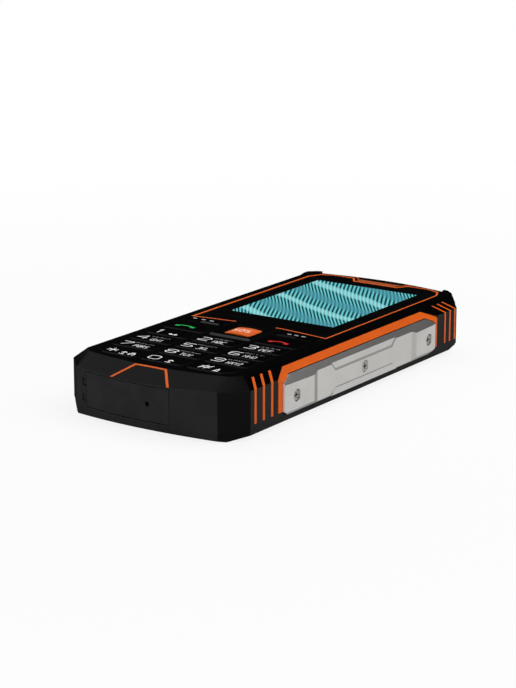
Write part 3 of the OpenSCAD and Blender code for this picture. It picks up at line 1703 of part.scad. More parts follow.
module nav_ring() {
    top = front_z + nav_rise;
    w = nav_w / 2;
    b = nav_bevel;
    floor_z = top - nav_dish;
    brim = w - b - nav_rim;
    dish_x = centre_w / 2 + centre_clear;
    dish_y = centre_l / 2 + centre_clear;
    color(dark)
        difference() {
            union() {
                intersection() {
                    upright(nav_outline, flange_low_z, top);
                    along_y([[-w, 0], [w, 0], [w, top - b], [w - b, top], [b - w, top], [-w, top - b]]);
                    across_x([[nav_y - w, 0], [nav_y + w, 0], [nav_y + w, top - b], [nav_y + w - b, top],
                        [nav_y - w + b, top], [nav_y - w, top - b]]);
                }
                upright(grown(nav_outline, flange_w), flange_low_z, flange_z);
            }
            upright(grown(centre_outline, centre_clear), 0, 2 * front_z);
            intersection() {
                along_y([[-dish_x, floor_z], [dish_x, floor_z], [brim, top], [brim, top + 1],
                    [-brim, top + 1], [-brim, top]]);
                across_x([[nav_y - dish_y, floor_z], [nav_y + dish_y, floor_z], [nav_y + brim, top],
                    [nav_y + brim, top + 1], [nav_y - brim, top + 1], [nav_y - brim, top]]);
            }
        }
}

module nav_web() {
    web_z = flange_low_z - rib_h - light_gap;
    color(rubber)
        difference() {
            union() {
                upright(moved(cut_rect(web_w, web_w, nav_cut), 0, nav_y), web_z - web_t, web_z);
                translate([0, nav_y, web_z + rib_h / 2 - web_t / 2])
                    cube([web_w, rib_w, rib_h + web_t], center = true);
                translate([0, nav_y, web_z - web_t / 2 - rib_h / 2])
                    cube([rib_w, web_w, rib_h + web_t], center = true);
            }
            upright(grown(centre_outline, web_gap), 0, front_z);
        }
}

module centre_key() {
    top = front_z + centre_rise;
    color(orange)
        intersection() {
            upright(centre_outline, mat_z, top);
            translate([0, nav_y, top - crown_r])
                rotate([90, 0, 0])
                    cylinder(r = crown_r, h = body_w, center = true);
        }
}

module key_1() { dial(-1, 3); }
module key_2() { dial(0, 3); }
module key_3() { dial(1, 3); }
module key_4() { dial(-1, 2); }
module key_5() { dial(0, 2); }
module key_6() { dial(1, 2); }
module key_7() { dial(-1, 1); }
module key_8() { dial(0, 1); }
module key_9() { dial(1, 1); }
module key_star() { dial(-1, 0); }
module key_0() { dial(0, 0); }
module key_hash() { dial(1, 0); }

module call_key() {
    color(dark)
        key_body(call_outline(-1), -pitch_x, row_y(4), call_l);
}

module end_key() {
    color(dark)
        key_body(call_outline(1), pitch_x, row_y(4), call_l);
}

module left_soft_key() {
    color(dark)
        key_body(soft_outline(-1), -pitch_x, soft_low, soft_inner);
}

module right_soft_key() {
    color(dark)
        key_body(soft_outline(1), pitch_x, soft_low, soft_inner);
}

module port_flap() {
    color(rubber)
        difference() {
            union() {
                difference() {
                    intersection() {
                        box([flap_left, -half_l - 1, flap_low],
                            [flap_right, -flap_depth + flap_t, flap_high]);
                        end_drum(0);
                    }
                    end_drum(flap_t);
                    translate([hinge_x, hinge_y, 0])
                        cylinder(r = heel_r, h = front_z);
                }
                for (z = [knuckle_low, knuckle_high]) {
                    translate([hinge_x, hinge_y, z - knuckle_l / 2])
                        cylinder(r = knuckle_r, h = knuckle_l);
                    box([hinge_x, hinge_y - strap_t / 2, z - knuckle_l / 2],
                        [hinge_x + heel_r + strap_t / 2, hinge_y + strap_t / 2, z + knuckle_l / 2]);
                }
            }
            translate([speech_x, 0, speech_z])
                rotate([90, 0, 0])
                    cylinder(r = speech_r, h = body_l);
        }
}

front_housing();
rear_housing();
mid_frame();
battery_cover();
cover_seal();
cover_screws();
housing_screws();
housing_seal();
display_lens();
lens_tape();
lens_trim();
display_panel();
display_backlight();
earpiece_mesh();
earpiece();
key_mat();
dome_sheet();
main_board();
shield_cans();
card_sockets();
battery_contacts();
battery();
loudspeaker();
speaker_mesh();
vibration_motor();
camera_module();
camera_window();
flash_led();
charging_socket();
audio_jack();
microphone();
antenna_carrier();
side_plate_left();
side_plate_right();
side_trim_left();
side_trim_right();
plate_screws();
corner_stripes();
bottom_accent();
nav_web();
nav_ring();
centre_key();
key_1();
key_2();
key_3();
key_4();
key_5();
key_6();
key_7();
key_8();
key_9();
key_star();
key_0();
key_hash();
call_key();
end_key();
left_soft_key();
right_soft_key();
port_flap();
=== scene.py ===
import json
import math
import bmesh
import bpy
from mathutils import Matrix, Vector


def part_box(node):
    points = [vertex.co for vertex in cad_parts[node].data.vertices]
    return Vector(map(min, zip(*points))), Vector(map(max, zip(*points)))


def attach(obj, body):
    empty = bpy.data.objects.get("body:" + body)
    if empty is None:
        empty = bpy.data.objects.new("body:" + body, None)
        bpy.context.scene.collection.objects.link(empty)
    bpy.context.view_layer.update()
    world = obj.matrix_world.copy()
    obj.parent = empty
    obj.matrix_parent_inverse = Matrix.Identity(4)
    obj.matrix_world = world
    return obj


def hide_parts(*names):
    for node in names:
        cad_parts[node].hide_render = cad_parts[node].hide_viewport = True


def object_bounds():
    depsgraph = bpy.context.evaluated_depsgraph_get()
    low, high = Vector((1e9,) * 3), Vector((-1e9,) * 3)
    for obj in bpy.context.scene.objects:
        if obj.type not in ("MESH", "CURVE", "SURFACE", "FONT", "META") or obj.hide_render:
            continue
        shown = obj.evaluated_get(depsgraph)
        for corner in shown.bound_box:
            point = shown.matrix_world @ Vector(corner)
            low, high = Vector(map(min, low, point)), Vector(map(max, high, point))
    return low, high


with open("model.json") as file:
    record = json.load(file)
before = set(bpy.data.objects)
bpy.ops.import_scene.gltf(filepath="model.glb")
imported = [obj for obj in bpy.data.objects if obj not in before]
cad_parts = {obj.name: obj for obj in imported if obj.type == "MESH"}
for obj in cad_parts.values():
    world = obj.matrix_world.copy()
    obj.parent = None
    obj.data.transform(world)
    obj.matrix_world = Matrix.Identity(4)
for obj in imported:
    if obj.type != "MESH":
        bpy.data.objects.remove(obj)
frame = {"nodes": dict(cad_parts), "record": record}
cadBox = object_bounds()
nodes = frame["nodes"]
slotOf = {part["node"]: part["material_slot"] for part in frame["record"]["subparts"]}
mm = 0.001
sameSpot = 0.001 * mm  # corners nearer than this are one
probes = 6  # rays of the nodes that find edges and hollows
print("phone: frame loaded,", len(nodes), "nodes")


def colour(red, green, blue):  # display values 0-255, as the linear colour a shader takes
    def linear(value):
        value /= 255
        return value / 12.92 if value <= 0.04045 else ((value + 0.055) / 1.055) ** 2.4
    return linear(red), linear(green), linear(blue), 1.0


def plug(tree, socket, value):
    if isinstance(value, Wire):
        tree.links.new(value.socket, socket)
    else:
        socket.default_value = value


class Wire:  # one socket of a node tree; maths on it adds Math nodes
    def __init__(self, tree, socket=None):
        self.tree = tree
        self.socket = socket

    def node(self, kind, settings=None, sockets=None, out=0):
        made = self.tree.nodes.new(kind)
        for name, value in (settings or {}).items():
            setattr(made, name, value)
        for name, value in (sockets or {}).items():
            plug(self.tree, made.inputs[name], value)
        return Wire(self.tree, made.outputs[out])

    def other(self, out):  # another output of the same node
        return Wire(self.tree, self.socket.node.outputs[out])

    def maths(self, operation, *values):
        return self.node("ShaderNodeMath", {"operation": operation}, dict(enumerate(values)))

    def __add__(self, value):
        return self.maths("ADD", self, value)

    def __sub__(self, value):
        return self.maths("SUBTRACT", self, value)

    def __rsub__(self, value):
        return self.maths("SUBTRACT", value, self)

    def __mul__(self, value):
        return self.maths("MULTIPLY", self, value)

    def __truediv__(self, value):
        return self.maths("DIVIDE", self, value)

    def __abs__(self):
        return self.maths("ABSOLUTE", self)

    __radd__ = __add__
    __rmul__ = __mul__

    def larger(self, value):
        return self.maths("MAXIMUM", self, value)

    def sine(self):
        return self.maths("SINE", self)

    def rise(self, low, high):  # 0 below low, 1 above high, smooth between
        return self.node("ShaderNodeMapRange", {"interpolation_type": "SMOOTHSTEP"},
                         {"Value": self, "From Min": low, "From Max": high})

    def shade(self, first, second):  # mixes two colours by this value
        return self.node("ShaderNodeMix", {"data_type": "RGBA"}, {0: self, 6: first, 7: second}, 2)

    def blotches(self, first, second):  # two colours that run softly into each other over a noise
        return self.rise(0.35, 0.65).shade(first, second)

    def axes(self):
        x = self.node("ShaderNodeSeparateXYZ", None, {0: self})
        return x, x.other(1), x.other(2)

    def noise(self, size, detail=3):  # size of the blotches in mm
        return self.node("ShaderNodeTexNoise", None,
                         {"Vector": self, "Scale": 1 / (size * mm), "Detail": detail})

    def cells(self, size):  # distance inside round cells, size in mm
        return self.node("ShaderNodeTexVoronoi", None, {"Vector": self, "Scale": 1 / (size * mm)})

    def stretched(self, x, y, z):  # a pattern on this is so many times finer along each axis
        return self.node("ShaderNodeMapping", None, {"Vector": self, "Scale": (x, y, z)})

    def edges(self, radius):  # 1 on sharp edges, radius in mm
        rounded = self.node("ShaderNodeBevel", {"samples": probes}, {"Radius": radius * mm})
        flat = self.node("ShaderNodeNewGeometry", None, None, "Normal")
        turn = self.node("ShaderNodeVectorMath", {"operation": "DOT_PRODUCT"},
                         {0: rounded, 1: flat}, "Value")
        return (1 - turn).rise(0.01, 0.12)

    def hollows(self, reach):  # 1 where the air is closed in, the mask of painted shade in hollows; reach in mm
        return 1 - self.node("ShaderNodeAmbientOcclusion", {"samples": probes},
                             {"Distance": reach * mm}, "AO")


def newFinish(name):  # a material, its shader, and the place on the piece
    material = bpy.data.materials.new(name)
    material.use_nodes = True
    tree = material.node_tree
    place = Wire(tree).node("ShaderNodeTexCoord", None, None, "Object")
    return material, tree.nodes["Principled BSDF"], place


def setShader(shader, values):
    for name, value in values.items():
        plug(shader.id_data, shader.inputs[name], value)


def bumpFrom(place, height, depth):  # depth in mm
    return place.node("ShaderNodeBump", None, {"Height": height, "Distance": depth * mm, "Strength": 1.0})


# plain finishes: a base colour that drifts to a second one, fine grain and worn edges, and on screws painted
# shade in the hollows; lengths in mm
plainLook = dict(drift=6, edge=0.25, wear=0.8, hollow=0.6)
finishes = {
    "inner_plastic": dict(first=colour(30, 30, 33), second=colour(40, 40, 42), worn=colour(58, 58, 60),
                          grain=0.35, depth=0.012, rough=(0.5, 0.65), gloss=0.35),
    "seal": dict(first=colour(17, 17, 18), second=colour(24, 24, 25), worn=colour(34, 34, 35),
                 grain=0.2, depth=0.01, rough=(0.6, 0.8), gloss=0.2),
    "flap": dict(first=colour(34, 34, 36), second=colour(39, 39, 40), worn=colour(58, 58, 59),
                 grain=0.22, depth=0.014, rough=(0.6, 0.78), gloss=0.1),
    "screw": dict(first=colour(178, 176, 172), second=colour(150, 148, 144), worn=colour(205, 204, 200),
                  grain=0.25, depth=0.004, rough=(0.28, 0.42), metal=1.0, gloss=0.5,
                  hollowShade=colour(34, 33, 32)),
    "metal": dict(first=colour(196, 195, 190), second=colour(172, 170, 166), worn=colour(216, 215, 211),
                  grain=0.4, depth=0.008, rough=(0.3, 0.45), metal=1.0, gloss=0.5),
    "mesh": dict(first=colour(120, 58, 24), second=colour(92, 42, 18), worn=colour(168, 84, 36),
                 grain=0.16, depth=0.02, rough=(0.45, 0.65), gloss=0.3),
    "tape": dict(first=colour(15, 15, 16), second=colour(20, 20, 21), worn=colour(30, 30, 30),
                 grain=0.3, depth=0.006, rough=(0.45, 0.6), gloss=0.3),
    "backlight": dict(first=colour(226, 226, 222), second=colour(214, 214, 210), worn=colour(236, 236, 232),
                      grain=0.5, depth=0.006, rough=(0.45, 0.6), gloss=0.4),
    "contact": dict(first=colour(206, 170, 92), second=colour(186, 148, 74), worn=colour(224, 196, 128),
                    grain=0.3, depth=0.004, rough=(0.22, 0.38), metal=1.0, gloss=0.5),
    "battery": dict(first=colour(205, 205, 202), second=colour(188, 188, 186), worn=colour(220, 220, 218),
                    grain=0.8, depth=0.02, rough=(0.32, 0.48), metal=0.8, gloss=0.5),
    "lamp": dict(first=colour(236, 232, 206), second=colour(226, 220, 186), worn=colour(246, 244, 230),
                 grain=0.5, depth=0.004, rough=(0.12, 0.22), gloss=0.5),
    "panel": dict(first=colour(16, 26, 30), second=colour(20, 32, 36), worn=colour(34, 44, 48),
                  grain=0.4, depth=0.003, rough=(0.2, 0.3), gloss=0.4),
}


def plainFinish(name, look):
    material, shader, place = newFinish(name)
    drift = place.noise(plainLook["drift"])
    fine = place.noise(look["grain"], 2)
    edge = place.edges(plainLook["edge"]) * drift.rise(0.25, 0.75)
    base = drift.blotches(look["first"], look["second"])
    tone = (edge * plainLook["wear"]).shade(base, look["worn"])
    # painted shade: darker where the air is closed in, as in the screw heads' recesses
    if "hollowShade" in look:
        tone = place.hollows(plainLook["hollow"]).rise(0.15, 0.5).shade(tone, look["hollowShade"])
    low, high = look["rough"]
    setShader(shader, {
        "Base Color": tone,
        "Roughness": fine * (high - low) + low,
        "Metallic": look.get("metal", 0.0),
        "Specular IOR Level": look["gloss"],
        "Normal": bumpFrom(place, fine, look["depth"]),
    })
    return material


# black shell: inky smooth face and shoulders, sand-textured ends and sides; the inky tone of the face,
# shoulders and upright corners is partly a smoother coat and partly painted shade, and the end bevels carry
# painted shade too; lengths in mm
shellLook = dict(face=colour(5, 5, 6), wall=colour(42, 42, 42), wallDrift=colour(38, 38, 38),
                 ramp=colour(25, 25, 26), worn=colour(66, 66, 68), drift=9, edge=0.3, scuff=1.5,
                 sand=0.16, sandDepth=0.016, rough=0.48, faceCoat=0.015, wallCoat=0.07, coatRough=0.3)


def shellFinish(look):
    material, shader, place = newFinish("shell")
    nx, ny, nz = place.other("Normal").axes()
    level = nz.rise(0.95, 0.99)
    shoulder = (abs(nx) * nz).rise(0.25, 0.4)  # the long slopes beside the face
    # the upright corner faces: the same plastic as the walls, painted shade-dark
    corner = (abs(nx) * abs(ny)).rise(0.25, 0.42)
    # smooth parts: glossier and less sandy, and in colour painted shade-dark
    smoothAndShaded = level.larger(shoulder).larger(corner * 0.75)
    drift = place.noise(look["drift"])
    sand = place.cells(look["sand"])
    edge = place.edges(look["edge"]) * place.noise(look["scuff"]).rise(0.35, 0.7)
    wall = drift.blotches(look["wall"], look["wallDrift"])
    ramped = nz.rise(0.2, 0.45).shade(wall, look["ramp"])  # painted shade: the bevels of both ends are darker
    base = smoothAndShaded.shade(ramped, look["face"])
    setShader(shader, {
        "Base Color": (edge * (0.7 - smoothAndShaded * 0.55)).shade(base, look["worn"]),
        "Roughness": sand * 0.15 + drift * 0.1 + look["rough"],
        "Coat Weight": smoothAndShaded * (look["faceCoat"] - look["wallCoat"]) + look["wallCoat"],
        "Coat Roughness": look["coatRough"],
        "Specular IOR Level": 0.0,
        "Normal": bumpFrom(place, sand * (1 - smoothAndShaded * 0.8), look["sandDepth"]),
    })
    return material


# keys: smooth dark tops, and a painted highlight on the flank that faces the near end of the keypad, the
# other flanks painted dusk-dark; lengths in mm
keyLook = dict(top=colour(4, 4, 5), flank=colour(37, 37, 39), dusk=colour(13, 13, 14), grain=0.2,
               depth=0.006, flankLightPatch=5, rough=0.42, coat=0.02, coatRough=0.25)
# the nav ring's near flank takes a brighter painted highlight; the soft keys take none
ringLook = dict(keyLook, flank=colour(66, 66, 68))
softKeyLook = dict(keyLook, flank=keyLook["dusk"])
# ridges on the soft keys: grey painted highlight, lighter on the left key
ridgeHighlightLook = dict(left_soft_key=dict(keyLook, top=colour(60, 60, 62), flank=colour(74, 74, 76)),
                 right_soft_key=dict(keyLook, top=colour(30, 30, 32), flank=colour(36, 36, 38)))


def keyFinish(name, look):
    material, shader, place = newFinish(name)
    _, ny, nz = place.other("Normal").axes()
    fine = place.noise(look["grain"], 2)
    # painted highlight on the flanks facing the near end, patchy over a noise
    nearFlankLight = (0 - ny).rise(0.25, 0.6) * (place.noise(look["flankLightPatch"]) * 0.4 + 0.8)
    flank = nearFlankLight.shade(look["dusk"], look["flank"])
    setShader(shader, {
        "Base Color": nz.rise(0.9, 0.98).shade(flank, look["top"]),
        "Roughness": fine * 0.15 + look["rough"],
        "Coat Weight": look["coat"],
        "Coat Roughness": look["coatRough"],
        "Specular IOR Level": 0.0,
        "Normal": bumpFrom(place, fine, look["depth"]),
    })
    return material


# steel plates: finely blasted flats and faint long scratches; painted shade on the tilted facets, the long
# slope and the lower bevel, and a painted highlight on the ends; lengths in mm
plateLook = dict(flat=colour(192, 191, 188), drift=colour(187, 186, 183), facet=colour(142, 141, 138),
                 slope=colour(159, 158, 156), under=colour(118, 118, 116), worn=colour(222, 221, 218),
                 tipHighlight=colour(232, 231, 229), blotch=9, edge=0.2, scuff=2, bead=0.12, beadDepth=0.003,
                 scratchLong=30, scratchSlim=30, rough=0.24, metal=0.9, tipMetal=0.15)


def plateFinish(look):
    material, shader, place = newFinish("plate")
    nx, ny, nz = place.node("ShaderNodeNewGeometry", None, None, "True Normal").axes()
    sloped = nz.rise(0.35, 0.48)  # painted shade on the long slope below the orange trim
    tilted = (1 - abs(nx).rise(0.985, 0.997)) * (1 - sloped)
    steep = (1 - abs(nx).rise(0.958, 0.976)).larger(ny.rise(0.0, 0.15))
    facet = tilted * (steep * 0.65 + 0.35)  # painted shade on the tilted facets; the ramps that face the keypad end stay lighter
    under = (0 - nz).rise(0.1, 0.3)  # painted shade on the bevel along the lower edge
    # painted highlight on the ends: pale and less metallic, so the lamps light them up
    litEnd = abs(ny).rise(0.6, 0.95)
    drift = place.noise(look["blotch"])
    bead = place.cells(look["bead"])
    scratch = place.stretched(look["scratchSlim"], 1, look["scratchSlim"]).noise(look["scratchLong"], 4)
    scratch = scratch.rise(0.64, 0.72)
    edge = place.edges(look["edge"]) * place.noise(look["scuff"]).rise(0.4, 0.7)
    base = facet.shade(drift.blotches(look["flat"], look["drift"]), look["facet"])
    base = under.shade(sloped.shade(base, look["slope"]), look["under"])
    base = litEnd.shade(base, look["tipHighlight"])
    setShader(shader, {
        "Base Color": (edge * 0.5).shade(base, look["worn"]),
        "Roughness": drift * 0.04 + bead * 0.08 + look["rough"] - scratch * 0.04,
        "Metallic": look["metal"] - litEnd * (look["metal"] - look["tipMetal"]),
        "Normal": bumpFrom(place, bead + scratch * 0.3, look["beadDepth"]),
    })
    return material


# orange parts: satin paint over plastic, a little rubbed on the edges; lengths in mm
orangeLook = dict(first=colour(226, 95, 8), second=colour(219, 90, 7), worn=colour(232, 122, 48), drift=8,
                  edge=0.25, scuff=1.2, peel=0.5, peelDepth=0.006, rough=0.4, gloss=0.14)


def orangeFinish(look):
    material, shader, place = newFinish("orange")
    peel = place.noise(look["peel"], 2)
    edge = place.edges(look["edge"]) * place.noise(look["scuff"]).rise(0.35, 0.7)
    base = place.noise(look["drift"]).blotches(look["first"], look["second"])
    setShader(shader, {
        "Base Color": (edge * 0.5).shade(base, look["worn"]),
        "Roughness": peel * 0.12 + look["rough"],
        "Specular IOR Level": look["gloss"],
        "Normal": bumpFrom(place, peel, look["peelDepth"]),
    })
    return material


# glass: black printed back, almost clear of reflections, with faint wipe marks; lengths in mm
lensLook = dict(print=colour(5, 5, 6), haze=colour(8, 8, 9), smear=14, smearSlim=4, rough=0.06, coat=0.03,
                coatRough=0.04, wave=12, waveDepth=0.004)


def lensFinish(look):
    material, shader, place = newFinish("lens")
    smear = place.stretched(1, look["smearSlim"], 1).noise(look["smear"], 4)
    setShader(shader, {
        "Base Color": smear.rise(0.4, 0.7).shade(look["print"], look["haze"]),
        "Roughness": smear * 0.1 + look["rough"],
        "Coat Weight": smear * 0.04 + look["coat"],
        "Coat Roughness": look["coatRough"],
        "Specular IOR Level": 0.0,
        "Normal": bumpFrom(place, place.noise(look["wave"], 1), look["waveDepth"]),
    })
    return material


# main board: green laminate with copper runs under the varnish; lengths in mm
boardLook = dict(first=colour(18, 74, 40), second=colour(14, 60, 34), run=colour(40, 104, 60), drift=8,
                 cell=2.2, runs=22, rough=0.35, depth=0.02)


def boardFinish(look):
    material, shader, place = newFinish("board")
    cell = place.node("ShaderNodeTexVoronoi", {"distance": "MANHATTAN", "feature": "F1"},
                      {"Vector": place, "Scale": 1 / (look["cell"] * mm)})
    runs = (cell * look["runs"]).sine().rise(0.3, 0.7)
    base = place.noise(look["drift"]).rise(0.4, 0.6).shade(look["first"], look["second"])
    setShader(shader, {
        "Base Color": (runs * 0.6).shade(base, look["run"]),
        "Roughness": runs * 0.1 + look["rough"],
        "Normal": bumpFrom(place, runs, look["depth"]),
    })
    return material


finishOf = {name: plainFinish(name, look) for name, look in finishes.items()}
finishOf["shell"] = shellFinish(shellLook)
finishOf["key"] = keyFinish("key", keyLook)
finishOf["ring"] = keyFinish("ring", ringLook)
finishOf["soft_key"] = keyFinish("soft_key", softKeyLook)
finishOf["plate"] = plateFinish(plateLook)
finishOf["orange"] = orangeFinish(orangeLook)
finishOf["lens"] = lensFinish(lensLook)
finishOf["board"] = boardFinish(boardLook)
# keys whose finish isn't that of their slot
special = dict(nav_ring="ring", left_soft_key="soft_key", right_soft_key="soft_key")
for name, node in nodes.items():
    node.data.materials.clear()
    node.data.materials.append(finishOf[special.get(name, slotOf[name])])
print("phone: finishes laid on", len(nodes), "nodes")

# small edge radii on what the hand meets, in mm; angles in degrees
rounding = dict(front_housing=0.25, rear_housing=0.25, battery_cover=0.2, side_plate_left=0.18,
                side_plate_right=0.18, side_trim_left=0.12, side_trim_right=0.12, lens_trim=0.05,
                corner_stripes=0.08, bottom_accent=0.05, nav_ring=0.12, port_flap=0.15, plate_screws=0.05,
                display_lens=0.05)
edgeLook = dict(flatAngle=0.3, sharpAngle=24, segments=2)


def roundEdges(node, radius, look):
    weld = node.modifiers.new("weld", "WELD")
    weld.merge_threshold = sameSpot
    flatten = node.modifiers.new("flatten", "DECIMATE")
    flatten.decimate_type = "DISSOLVE"
    flatten.angle_limit = math.radians(look["flatAngle"])
    bevel = node.modifiers.new("edge", "BEVEL")
    bevel.width = radius * mm
    bevel.segments = look["segments"]
    bevel.limit_method = "ANGLE"
    bevel.angle_limit = math.radians(look["sharpAngle"])
    bevel.use_clamp_overlap = True
    node.modifiers.new("normals", "WEIGHTED_NORMAL")


for name, radius in rounding.items():
    roundEdges(nodes[name], radius, edgeLook)
print("phone: edges rounded on", len(rounding), "nodes")


def addPiece(name, shape, finish, body):
    bmesh.ops.recalc_face_normals(shape, faces=shape.faces)
    mesh = bpy.data.meshes.new(name)
    shape.to_mesh(mesh)
    shape.free()
    mesh.materials.append(finish)
    piece = bpy.data.objects.new(name, mesh)
    bpy.context.scene.collection.objects.link(piece)
    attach(piece, body)
    return piece


def boxOf(node):  # a node's low and high corners in mm
    low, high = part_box(node)
    return low / mm, high / mm


def skin(shape, one, two):  # joins two rings of corners with faces
    for k in range(len(one)):
        after = (k + 1) % len(one)
        shape.faces.new((one[k], one[after], two[after], two[k]))


# strokes of all print: a lower mitre lets sharp bends reach out further,
# and under hairpin a bend counts as turning straight back
strokeLook = dict(mitre=0.45, hairpin=0.01)


def ribbon(shape, points, width, closed=False):  # a stroke with square ends, in mm; drape sets its heights
    count = len(points)
    rings = []
    for i, point in enumerate(points):
        here = Vector(point)
        before = Vector(points[i - 1]) if closed or i > 0 else None
        after = Vector(points[(i + 1) % count]) if closed or i < count - 1 else None
        into = (here - before).normalized() if before else (after - here).normalized()
        away = (after - here).normalized() if after else into
        square = Vector((-into.y, into.x))
        side = Vector((-into.y - away.y, into.x + away.x))
        side = side.normalized() if side.length > strokeLook["hairpin"] else square
        reach = width / 2 / max(strokeLook["mitre"], side.dot(square))
        rings.append([shape.verts.new(((here.x + side.x * s) * mm, (here.y + side.y * s) * mm, z * mm))
                      for s, z in ((reach, -1), (-reach, -1), (-reach, 1), (reach, 1))])
    for one, two in zip(rings, rings[1:] + rings[:1] if closed else rings[1:]):
        skin(shape, one, two)
    if not closed:
        shape.faces.new(rings[0])
        shape.faces.new(rings[-1])


# strokes of the signs: x then y of each point on the grid, a bar between strokes
gridWide, gridHigh = 4, 6
strokes = {
    "0": "10 30 41 45 36 16 05 01 10", "1": "15 26 20", "2": "06 36 45 44 33 12 01 00 40",
    "3": "06 36 45 44 33 13|33 42 41 30 00", "4": "30 36 02 42", "5": "46 06 03 33 42 41 30 00",
    "6": "46 16 05 01 10 30 41 42 33 03", "7": "06 46 45 10",
    "8": "13 04 05 16 36 45 44 33 13 02 01 10 30 41 42 33", "9": "43 13 04 05 16 36 45 41 30 00",
    "*": "20 26|02 44|04 42", "#": "00 26|20 46|02 42|04 44",
    "A": "00 04 26 44 40|02 42", "B": "00 06 36 45 44 33 03|33 42 41 30 00", "C": "46 16 05 01 10 40",
    "D": "00 06 26 44 42 20 00", "E": "46 06 00 40|03 33", "F": "46 06 00|03 33",
    "G": "46 16 05 01 10 40 43 23", "H": "00 06|40 46|03 43", "I": "20 26", "J": "46 41 30 10 01",
    "K": "00 06|46 03 40", "L": "06 00 40", "M": "00 06 23 46 40", "N": "00 06 40 46",
    "O": "10 30 41 45 36 16 05 01 10", "P": "00 06 36 45 44 33 03",
    "Q": "10 30 41 45 36 16 05 01 10|22 40", "R": "00 06 36 45 44 33 03|23 40",
    "S": "46 16 05 04 13 33 42 41 30 00", "T": "06 46|26 20", "U": "06 01 10 30 41 46", "V": "06 20 46",
    "W": "06 00 23 40 46", "X": "00 46|06 40", "Y": "06 23 46|23 20", "Z": "06 46 00 40",
    "Б": "46 06 00 30 41 42 33 03", "Г": "00 06 46", "Д": "00 01 41 40|11 26 31", "Ж": "20 26|00 46|06 40",
    "И": "06 00 46 40", "Л": "00 26 40", "П": "00 06 46 40", "У": "06 23|46 10",
    "Ф": "20 26|15 35 44 43 32 12 03 04 15", "Ц": "06 01 41 46|41 40", "Ч": "06 04 13 43|46 40",
    "Ш": "06 00 40 46|20 26", "Щ": "06 01 41 46|21 26|41 40", "Ъ": "06 16 10 30 41 42 33 13",
    "Ы": "06 00 20 31 32 23 03|40 46", "Ь": "06 00 30 41 42 33 03", "Э": "06 36 45 41 30 00|13 43",
    "Ю": "00 06|03 13|20 30 41 45 36 26 15 11 20", "Я": "40 46 16 05 04 13 43|23 00",
    "up": "20 26|04 26 44|00 40", "lock": "01 04 44 41 01|14 16 36 34", "bell": "00 40|10 13 26 33 30|20 21",
    "post": "12 21 32 23 12|52 61 72 63 52|21 61",
}
strokes.update({twin: strokes[sign] for twin, sign in zip("АВЕЗЙКМНОРСТХ", "ABE3ИKMHOPCTX")})


def writeRow(shape, signs, x, y, size, gap, width):  # from the row's lower left corner
    stepX, stepY = (size[0] - width) / gridWide, (size[1] - width) / gridHigh
    for sign in signs:
        for stroke in strokes[sign].split("|"):
            spots = [(x + width / 2 + int(column) * stepX, y + width / 2 + int(row) * stepY)
                     for column, row in stroke.split()]
            closed = spots[0] == spots[-1]
            ribbon(shape, spots[:-1] if closed else spots, width, closed)
        x += size[0] + gap


def drape(shape, node, rise, sink):  # lays a flat print on a node's top, its low side sunk in; in mm
    for vert in shape.verts:
        hit, spot, _, _ = nodes[node].ray_cast(Vector((vert.co.x, vert.co.y, 1)), Vector((0, 0, -1)))
        ground = spot.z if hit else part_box(node)[1].z
        vert.co.z = ground + (rise if vert.co.z > 0 else -sink) * mm


# inks: a tone that thins out in small patches, lifted by a faint glow
inkLook = dict(patch=0.6, thin=0.86, rough=0.45, gloss=0.1, depth=0.004)


def inkFinish(name, tone, glow, look=inkLook):
    material, shader, place = newFinish(name)
    patch = place.noise(look["patch"], 2)
    thin = [part * look["thin"] for part in tone[:3]] + [1.0]
    setShader(shader, {
        "Base Color": patch.rise(0.2, 0.7).shade(thin, tone),
        "Roughness": patch * 0.2 + look["rough"],
        "Specular IOR Level": look["gloss"],
        "Emission Color": tone,
        "Emission Strength": glow,
        "Normal": bumpFrom(place, patch, look["depth"]),
    })
    return material


inks = {
    "white": inkFinish("white_ink", colour(236, 237, 236), glow=0.3),
    "grey": inkFinish("grey_ink", colour(150, 151, 150), glow=0.2),
    "green": inkFinish("green_ink", colour(22, 168, 72), glow=0.25),
    "red": inkFinish("red_ink", colour(196, 24, 28), glow=0.25),
    "pale": inkFinish("pale_ink", colour(250, 226, 208), glow=0.16),
    "dot": inkFinish("dot_ink", colour(176, 177, 177), glow=0.16),
}

# print on the keys, in mm from a key's left edge and its middle; four letters are set tighter than three
legendLook = dict(left=1.9, signLeft=3.3, digitLow=-1.95, digit=(3.7, 3.5), digitStroke=0.28,
                  letterLeft=7.3, letterLow=-2.35, letter=(1.25, 2.2), letterGap=0.22, letterStroke=0.17,
                  tight=0.87, smallLeft=5.8, smallLow=1.25, small=(1.3, 0.85), smallGap=0.38,
                  smallStroke=0.08, markLeft=8.7, markLow=-2.6, mark=(2.1, 2.6), markGap=0.8,
                  markStroke=0.3, postShift=(-1.5, 0.35), rise=0.015, sink=0.1)
legends = {  # the digit or sign, its letters, the small second letters, and its marks
    "key_1": ("1", "", "", ["post"]),
    "key_2": ("2", "ABC", "АБВГ", []),
    "key_3": ("3", "DEF", "ДЕЖЗ", []),
    "key_4": ("4", "GHI", "ИЙКЛ", []),
    "key_5": ("5", "JKL", "МНОП", []),
    "key_6": ("6", "MNO", "РСТУ", []),
    "key_7": ("7", "PQRS", "ФХЦЧ", []),
    "key_8": ("8", "TUV", "ШЩЪЫ", []),
    "key_9": ("9", "WXYZ", "ЬЭЮЯ", []),
    "key_star": ("*", "", "", ["up", "lock"]),
    "key_0": ("0", "", "", ["up"]),
    "key_hash": ("#", "", "", ["bell"]),
}


